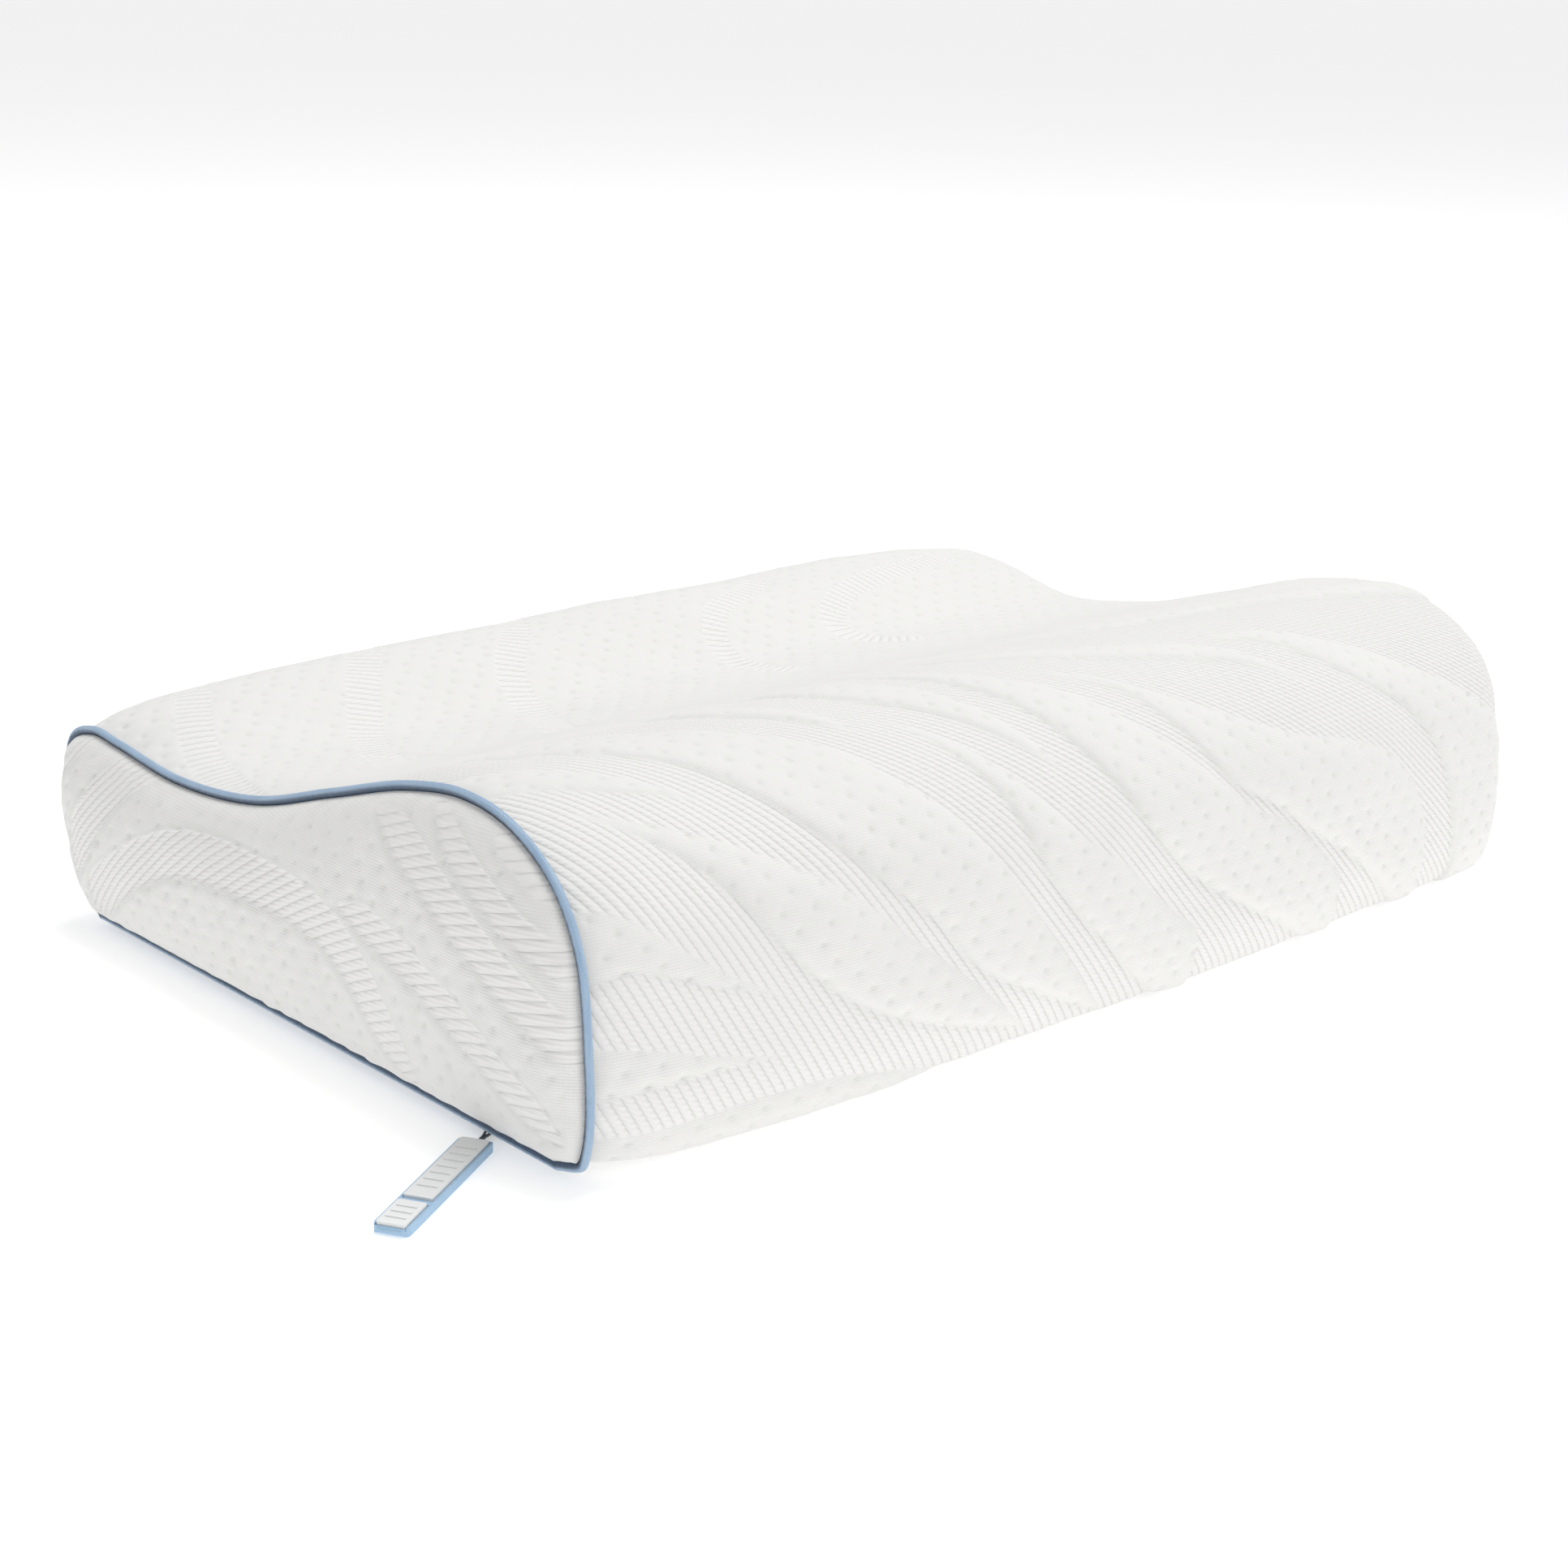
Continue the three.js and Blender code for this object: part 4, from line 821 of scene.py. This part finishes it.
def end_panel(side, name):
    """One domed end with its relief, its lining behind it, and its maps."""
    coarse_u, coarse_v = np.linspace(0, 1, 85), np.linspace(0, 1, 31)
    u, v = finer(coarse_u), finer(coarse_v)
    seam = RIGHT_SEAM if side > 0 else LEFT_SEAM
    start = abs(seam) + HEM_GAP
    flat = patch_grid(u, v, seam, 0.0)
    share, from_rim = into_dome(flat, seam, 0.0)
    Y, Z = flat[..., 0], flat[..., 1]
    doming = DOME * np.sqrt(np.maximum(0, 1 - (1 - share) ** 2))
    bands = np.zeros_like(Y)
    fold = np.zeros_like(Y)
    for half_width, line in END_BANDS:
        off, run_at, whole = beside(Y, Z, line)
        wide = half_width * smooth_step(run_at, -9, 16) * smooth_step(whole - run_at, -9, 16)
        bands = np.maximum(bands, 1 - smooth_step(off - wide, -0.9, 0.4))
        fold = np.maximum(fold, np.exp(-((off - wide - 1.0) / END_FOLD_WIDE) ** 2))
    plain, rise = 1 - bands, END_RISE * (1 - bands)
    fold = fold * plain
    # the ribs climb towards the front, at a slope of 0.94 at the rear and 0.16 at the front
    count_up = 0.88 * (Z + 0.55 * Y + 0.0013 * Y ** 2) / END_RIB_STEP
    ribs = np.abs(np.sin(np.pi * count_up)) ** 0.3 - 0.8
    pit, dish = tacks(Y + 0.25 * Z, Z + 0.12 * Y, END_TACK_Y, END_TACK_Z)
    calm = smooth_step(from_rim, 1.5, 9)
    tack_zone = smooth_step(plain, 0.8, 1.0) * calm * (0.8 + 0.3 * ripples(Y, Z, 35, 30))
    crease_depth = np.zeros_like(Y)
    for line in END_CREASES:
        crease_depth = np.maximum(crease_depth, line_groove(Z, Y, line, END_CREASE_WIDE, END_CREASE_FADE))
    height = (rise - END_FOLD_DEEP * fold) * calm + END_RIB_HEIGHT * ribs * (1 - plain) * calm
    height = height - (END_PIT_DEEP * pit + END_DISH_DEEP * dish) * tack_zone
    height = height - END_CREASE_DEEP * crease_depth * calm
    height = height + (0.5 * ripples(Y, Z, 31, 60) + 0.35 * ripples(Y, Z * 0.5, 32, 24)) * calm
    height = height + 0.5 * np.exp(-(from_rim / 8) ** 2) * ripples(Y, Z, 33, 14) * smooth_step(from_rim, 0, 2)
    height = height - END_RISE * 0.8 * calm
    dome = out_along_normal(np.stack([start + doming, Y, Z], -1), height)
    dome[..., 0] = np.maximum(dome[..., 0], start)
    inner_flat = patch_grid(coarse_u, coarse_v, seam, COVER_WALL)
    inner_share, _ = into_dome(inner_flat, seam, COVER_WALL)
    inner_doming = (DOME - COVER_WALL) * np.sqrt(np.maximum(0, 1 - (1 - inner_share) ** 2))
    back = np.stack([start + inner_doming, inner_flat[..., 0], inner_flat[..., 1]], -1)
    # the last tag is painted shade for the knit's colour: darker along the folds and the creases
    tags = [np.stack([Y, Z], -1) * MM, np.stack([count_up, plain], -1), pit * tack_zone,
            np.clip(fold * calm + 0.3 * crease_depth, 0, 1)]
    if side < 0:
        dome, back = dome[::-1] * [-1, 1, 1], back[::-1] * [-1, 1, 1]
        tags = [tag[::-1] for tag in tags]
        inner_flat = inner_flat[::-1]
    keep = np.ones((len(coarse_u) - 1, len(coarse_v) - 1), bool)
    few = back[..., 0].size
    maps = {"cloth": joined(tags[0], inner_flat * MM, 2),
            "ribs": joined(tags[1], np.tile([0.0, 1.0], few), 2)}
    spots = {"tack": joined(tags[2], np.zeros(few), 1), "fold": joined(tags[3], np.zeros(few), 1)}
    polygons = shell(dome, back, keep, wraps=False)
    return mesh_object(name, joined(dome, back, 3), polygons, maps, spots, sharp=70)


for side, end in ((-1, "left"), (1, "right")):
    panel = end_panel(side, f"cover_end_{end}_quilted")
    fit(panel, f"cover_end_panel_{end}", knit)

# ---- piping ----
# A strip of blue satin, cut on the bias and folded round a cotton cord, is sewn into each end seam.
# The stitches draw it in every few millimetres, so its edge is slightly scalloped.

PIPING_R = 1.55  # satin over the cord
PIPING_OUT = 1.95  # cord's middle outside the drawn-in seam
RIGHT_PAST = 1.8  # the right cord's middle past its seam along x
CORD_R, CORD_GIRTH, CORD_TWIST = 0.95, 6.6, 6.0
TAIL_LENGTH, TAIL_HALF = 3.0, 0.2
STRIP_WIDTH = 14.0  # satin over the cord and down both sides of the tail
SCALLOP, SCALLOP_DEPTH = 4.6, 0.09

satin, tree = material("blue_polyester_satin")
strip = add(tree, "UVMap", uv_map="cloth")
# bias weave: fine slanting floats, one every 0.9 mm of the strip, that catch the light
along_strip = add(tree, "SeparateXYZ", {0: strip})
round_strip = add(tree, "SeparateXYZ", {0: strip}, out=1)
slanted = add(tree, "Math", {0: round_strip, 1: 0.7, 2: along_strip}, operation="MULTIPLY_ADD")
float_turn = add(tree, "Math", {0: slanted, 1: 2 * np.pi / 0.0009}, operation="MULTIPLY")
floats = add(tree, "Math", {0: float_turn}, operation="SINE")
stretched = add(tree, "Mapping", {"Vector": strip, "Scale": (60.0, 420.0, 1.0)})
streak = add(tree, "TexNoise", {"Vector": stretched, "Scale": 1.0, "Detail": 3.0})
lift = add(tree, "Math", {0: streak, 1: 2.0, 2: floats}, operation="MULTIPLY_ADD")
relief = add(tree, "Bump", {"Height": lift, "Distance": 0.00012, "Strength": 0.5})
# mid blue dye with pale blue streaks along the strip: the streaks are painted sheen
dye_and_painted_sheen = add(tree, "MixRGB", {"Fac": streak, "Color1": linear("#86A6C7"), "Color2": linear("#B4CDE4")})
# painted shade: dark navy on the half of the bead that faces into the seam, and on the tail
painted_seam_shade = add(tree, "Attribute", attribute_name="seam", out=2)
blue = add(tree, "MixRGB", {"Fac": painted_seam_shade, "Color1": dye_and_painted_sheen, "Color2": linear("#3A536F")})
gloss = add(tree, "BsdfPrincipled", {
    "Base Color": blue, "Roughness": 0.36, "Specular IOR Level": 0.75, "Normal": relief,
    "Anisotropic": 0.5, "Sheen Weight": 0.25, "Sheen Roughness": 0.3})
add(tree, "OutputMaterial", {"Surface": gloss})

# bleached cotton in three plies, of which the next comes up every 6 mm along the cord
cotton, tree = material("bleached_cotton_cord")
strip = add(tree, "UVMap", uv_map="cloth")
along_strip = add(tree, "SeparateXYZ", {0: strip})
round_strip = add(tree, "SeparateXYZ", {0: strip}, out=1)
fibre_run = add(tree, "Math", {0: round_strip, 1: 1.2, 2: along_strip}, operation="MULTIPLY_ADD")
fibre_turn = add(tree, "Math", {0: fibre_run, 1: 2 * np.pi / 0.0005}, operation="MULTIPLY")
fibres = add(tree, "Math", {0: fibre_turn}, operation="SINE")
relief = add(tree, "Bump", {"Height": fibres, "Distance": 0.0001, "Strength": 0.6})
tone = add(tree, "TexNoise", {"Vector": strip, "Scale": 300.0, "Detail": 3.0})
white = add(tree, "MixRGB", {"Fac": tone, "Color1": linear("#E2E1DC"), "Color2": linear("#F1F0EC")})
yarn = add(tree, "BsdfPrincipled", {
    "Base Color": white, "Roughness": 0.9, "Specular IOR Level": 0.1, "Sheen Weight": 0.2, "Normal": relief})
add(tree, "OutputMaterial", {"Surface": yarn})

seam_s = np.linspace(0, AROUND, 761)[:-1]
seam_point, seam_normal = section(seam_s)
for _ in range(12):  # eases the two bottom corners so that the strip never folds on itself
    seam_normal = (np.roll(seam_normal, 1, 0) + 2 * seam_normal + np.roll(seam_normal, -1, 0)) / 4
seam_normal /= np.linalg.norm(seam_normal, axis=1, keepdims=True)
seam_under = smooth_step(-seam_normal[:, 1], 0.5, 0.95)


def seam_path(seam):
    """Where the piping's middle runs round one end seam: just outside the drawn-in edge."""
    drawn = seam_pull(np.array([seam]), seam_under) - PIPING_OUT
    return seam_point - seam_normal * drawn[:, None]


def carried(name, seam, x_middle, profile, maps_width, scale, tag=None):
    """A closed profile of (sideways, outwards) pairs carried once round the end seam. scale holds a
    factor for each step of the path and each point of the profile."""
    seam_line = seam_path(seam)
    steps, round_points = scale.shape
    sideways = profile[None, :, 0] * scale
    outwards = profile[None, :, 1] * scale
    y = seam_line[:, None, 0] + seam_normal[:, None, 0] * outwards
    z = seam_line[:, None, 1] + seam_normal[:, None, 1] * outwards
    rows = np.stack([x_middle + sideways, y, z], -1)
    rows = np.concatenate([rows, rows[:1]])
    rows = np.concatenate([rows, rows[:, :1]], 1)
    grid = np.arange(rows[..., 0].size).reshape(rows.shape[:2])
    weld = grid.copy()
    weld[-1], weld[:, -1] = weld[0], weld[:, 0]
    weld[-1, -1] = grid[0, 0]
    run_length = np.linspace(0, AROUND, steps + 1)[:, None] * np.ones(round_points + 1)
    width = np.linspace(0, maps_width, round_points + 1)[None] * np.ones((steps + 1, 1))
    maps = {"cloth": np.stack([run_length, width], -1).reshape(-1, 2) * MM}
    spots = {} if tag is None else {"seam": np.broadcast_to(tag, (steps + 1, round_points + 1)).reshape(-1)}
    return mesh_object(name, rows.reshape(-1, 3), [quads(grid)], maps, spots, weld.ravel())


round_angle = np.radians(np.linspace(-55, 235, 17))
bead_profile = np.stack([np.cos(round_angle), np.sin(round_angle)], -1) * PIPING_R
neck = np.array([(-TAIL_HALF, -PIPING_R - TAIL_HALF), (-TAIL_HALF, -PIPING_R - TAIL_LENGTH),
                 (TAIL_HALF, -PIPING_R - TAIL_LENGTH), (TAIL_HALF, -PIPING_R - TAIL_HALF)])
satin_profile = np.vstack([bead_profile, neck])
# painted shade: tags the bead's half that faces into the seam, and the tail, to be coloured dark navy
seam_side_shade = smooth_step(-np.sin(round_angle), -0.45, 0.35)
seam_shade_tag = np.concatenate([seam_side_shade, np.ones(len(neck) + 1)])
side_share = np.concatenate([np.cos(round_angle) ** 2, np.zeros(len(neck))])
draw_in = np.abs(np.sin(np.pi * seam_s / SCALLOP + 1.3 * np.sin(seam_s / 23)))
wander = np.sin(seam_s / 7.3) * 0.5 + np.sin(seam_s / 3.1 + 1) * 0.5
gather = 1 + side_share * (0.02 * wander - SCALLOP_DEPTH * (1 - draw_in))[:, None]
cord_angle = np.linspace(0, 2 * np.pi, 13)[:-1]
cord_profile = np.stack([np.cos(cord_angle), np.sin(cord_angle)], -1) * CORD_R
lay = cord_angle + seam_s[:, None] / CORD_TWIST * 2 * np.pi / 3
plies = 0.93 + 0.07 * np.abs(np.sin(1.5 * lay))
for seam, middle, end in ((LEFT_SEAM, LEFT_SEAM, "left"), (RIGHT_SEAM, RIGHT_SEAM + RIGHT_PAST, "right")):
    tape = carried(f"piping_{end}_satin", seam, middle, satin_profile, STRIP_WIDTH, gather, seam_shade_tag)
    fit(tape, f"piping_tape_{end}", satin)
    filler = carried(f"piping_{end}_cord", seam, middle, cord_profile, CORD_GIRTH, plies)
    fit(filler, f"piping_cord_{end}", cotton)

# ---- zip ----
# A white coil zip lies under the left end seam: two woven tapes, two nylon coils and two crimped stops.
# It opens from the front corner to the rear corner so that the core comes out sideways.

# woven polyester tape: slanting ridges 1.4 mm apart over picks 0.6 mm apart
tape_cloth, tree = material("woven_zip_tape")
place = add(tree, "TexCoord", out=3)
across = add(tree, "TexWave", {"Vector": place, "Scale": 310.0, "Distortion": 0.2}, out=1,
             wave_type="BANDS", bands_direction="DIAGONAL")
picks = add(tree, "TexWave", {"Vector": place, "Scale": 520.0}, out=1,
            wave_type="BANDS", bands_direction="Y")
woven = add(tree, "Math", {0: across, 1: 0.6, 2: picks}, operation="MULTIPLY_ADD")
# painted shade: the tape is coloured darker in the weave's grooves
weave_tint_with_groove_shade = add(tree, "MixRGB", {"Fac": woven, "Color1": linear("#D4D6D8"), "Color2": linear("#ECEDEE")})
relief = add(tree, "Bump", {"Height": woven, "Distance": 0.00015, "Strength": 0.7})
cloth = add(tree, "BsdfPrincipled", {
    "Base Color": weave_tint_with_groove_shade, "Roughness": 0.75, "Specular IOR Level": 0.25, "Sheen Weight": 0.15,
    "Normal": relief})
add(tree, "OutputMaterial", {"Surface": cloth})


def keep_node(name, finish):
    """Keeps a CAD node's shape and gives it its material."""
    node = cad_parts[name]
    node.data.materials.clear()
    node.data.materials.append(finish)


for name in ("zip_tape_cover_side", "zip_tape_panel_side"):
    keep_node(name, tape_cloth)

# drawn nylon wire, milky white with a soft gloss
nylon, tree = material("nylon_coil_wire")
place = add(tree, "TexCoord", out=3)
die_marks = add(tree, "TexNoise", {"Vector": place, "Scale": 1500.0, "Detail": 2.0})
relief = add(tree, "Bump", {"Height": die_marks, "Distance": 0.00005, "Strength": 0.4})
milk = add(tree, "MixRGB", {"Fac": die_marks, "Color1": linear("#DFE1E3"), "Color2": linear("#F0F1F2")})
wire_look = add(tree, "BsdfPrincipled", {
    "Base Color": milk, "Roughness": 0.35, "IOR": 1.53, "Subsurface Weight": 0.1,
    "Subsurface Radius": (0.001, 0.001, 0.001), "Normal": relief})
add(tree, "OutputMaterial", {"Surface": wire_look})

COIL_STEP = 1.5
COIL_WIRE_R, COIL_SIDES = 0.32, 6


def coil(name, node):
    """A flattened helix of round wire that fills its CAD box, with a closed cap at each end."""
    low, high = (np.array(corner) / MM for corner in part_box(node))
    middle, half = (low + high) / 2, (high - low) / 2 - COIL_WIRE_R
    turns = int((high[1] - low[1] - 2 * COIL_WIRE_R) / COIL_STEP)
    turn = np.linspace(0, turns, turns * 14 + 1)
    angle = 2 * np.pi * turn
    y = low[1] + COIL_WIRE_R + (high[1] - low[1] - 2 * COIL_WIRE_R) * turn / turns
    centre = np.stack([middle[0] + half[0] * np.cos(angle), y, middle[2] + half[2] * np.sin(angle)], -1)
    ahead = np.gradient(centre, axis=0)
    ahead /= np.linalg.norm(ahead, axis=1, keepdims=True)
    out = np.stack([np.cos(angle), 0 * angle, np.sin(angle)], -1)
    out -= (out * ahead).sum(1, keepdims=True) * ahead
    out /= np.linalg.norm(out, axis=1, keepdims=True)
    side_way = np.cross(ahead, out)
    around = np.linspace(0, 2 * np.pi, COIL_SIDES + 1)[:-1, None]
    ring = out[:, None] * np.cos(around) + side_way[:, None] * np.sin(around)
    points = (centre[:, None] + COIL_WIRE_R * ring).reshape(-1, 3)
    grid = np.arange(len(points)).reshape(-1, COIL_SIDES)
    faces = [quads(np.hstack([grid, grid[:, :1]]))[:, ::-1], grid[:1, ::-1], grid[-1:]]
    return mesh_object(name, points, faces)


for node_name in ("zip_coil_cover_side", "zip_coil_panel_side"):
    wire = coil(node_name + "_wire", node_name)
    fit(wire, node_name, nylon)

# zinc die casting with bright nickel plating; faint casting grain under the plating
nickel, tree = material("nickel_plated_zinc")
place = add(tree, "TexCoord", out=3)
grain = add(tree, "TexNoise", {"Vector": place, "Scale": 1200.0, "Detail": 4.0})
scuffs = add(tree, "TexNoise", {"Vector": place, "Scale": 350.0, "Detail": 6.0, "Roughness": 0.7})
rough = add(tree, "MapRange", {"Value": scuffs, "To Min": 0.22, "To Max": 0.45})
relief = add(tree, "Bump", {"Height": grain, "Distance": 0.00005, "Strength": 0.35})
silver = add(tree, "MixRGB", {"Fac": scuffs, "Color1": linear("#B9B8B4"), "Color2": linear("#D6D5D1")})
metal = add(tree, "BsdfPrincipled", {
    "Base Color": silver, "Metallic": 1.0, "Roughness": rough, "Normal": relief})
add(tree, "OutputMaterial", {"Surface": metal})
for name in ("zip_stop_closed_end", "zip_stop_open_end", "zip_slider_body"):
    keep_node(name, nickel)

# ---- puller ----
# A black wire link joins the slider to a soft blue rubber body, into which two hard white plates
# are let. Low cross ridges on the plates give the fingers a hold.

# steel wire in baked black lacquer, chipped a little paler on its high spots
lacquer, tree = material("black_lacquered_wire")
place = add(tree, "TexCoord", out=3)
chips = add(tree, "TexNoise", {"Vector": place, "Scale": 900.0, "Detail": 4.0})
wear_and_painted_shade = add(tree, "MapRange", {"Value": chips, "From Min": 0.62, "From Max": 0.7})
black = add(tree, "MixRGB", {"Fac": wear_and_painted_shade, "Color1": linear("#17181B"), "Color2": linear("#2E3034")})
relief = add(tree, "Bump", {"Height": chips, "Distance": 0.00004, "Strength": 0.4})
coat = add(tree, "BsdfPrincipled", {
    "Base Color": black, "Roughness": 0.35, "Coat Weight": 0.3, "Coat Roughness": 0.2, "Normal": relief})
add(tree, "OutputMaterial", {"Surface": coat})
keep_node("puller_link", lacquer)


def moulded(name, colour_low, colour_high, roughness):
    """Moulded rubber or plastic: spark-eroded grain 0.4 mm across, a slow change of tone, a dull sheen."""
    made, tree = material(name)
    place = add(tree, "TexCoord", out=3)
    eroded = add(tree, "TexNoise", {"Vector": place, "Scale": 2600.0, "Detail": 3.0})
    slow = add(tree, "TexNoise", {"Vector": place, "Scale": 90.0, "Detail": 2.0})
    tone = add(tree, "MixRGB", {"Fac": slow, "Color1": linear(colour_low), "Color2": linear(colour_high)})
    relief = add(tree, "Bump", {"Height": eroded, "Distance": 0.00005, "Strength": 0.4})
    rubber = add(tree, "BsdfPrincipled", {
        "Base Color": tone, "Roughness": roughness, "Specular IOR Level": 0.4, "Normal": relief,
        "Sheen Weight": 0.1, "Subsurface Weight": 0.06, "Subsurface Radius": (0.001, 0.001, 0.001)})
    add(tree, "OutputMaterial", {"Surface": rubber})
    return made


blue_rubber = moulded("blue_silicone_rubber", "#9DBEDB", "#A9C8E2", 0.55)
white_plate = moulded("white_moulded_plate", "#E8EAEA", "#F0F1F0", 0.5)
keep_node("puller_base", blue_rubber)
for name in ("puller_long_plate", "puller_end_plate"):
    keep_node(name, white_plate)
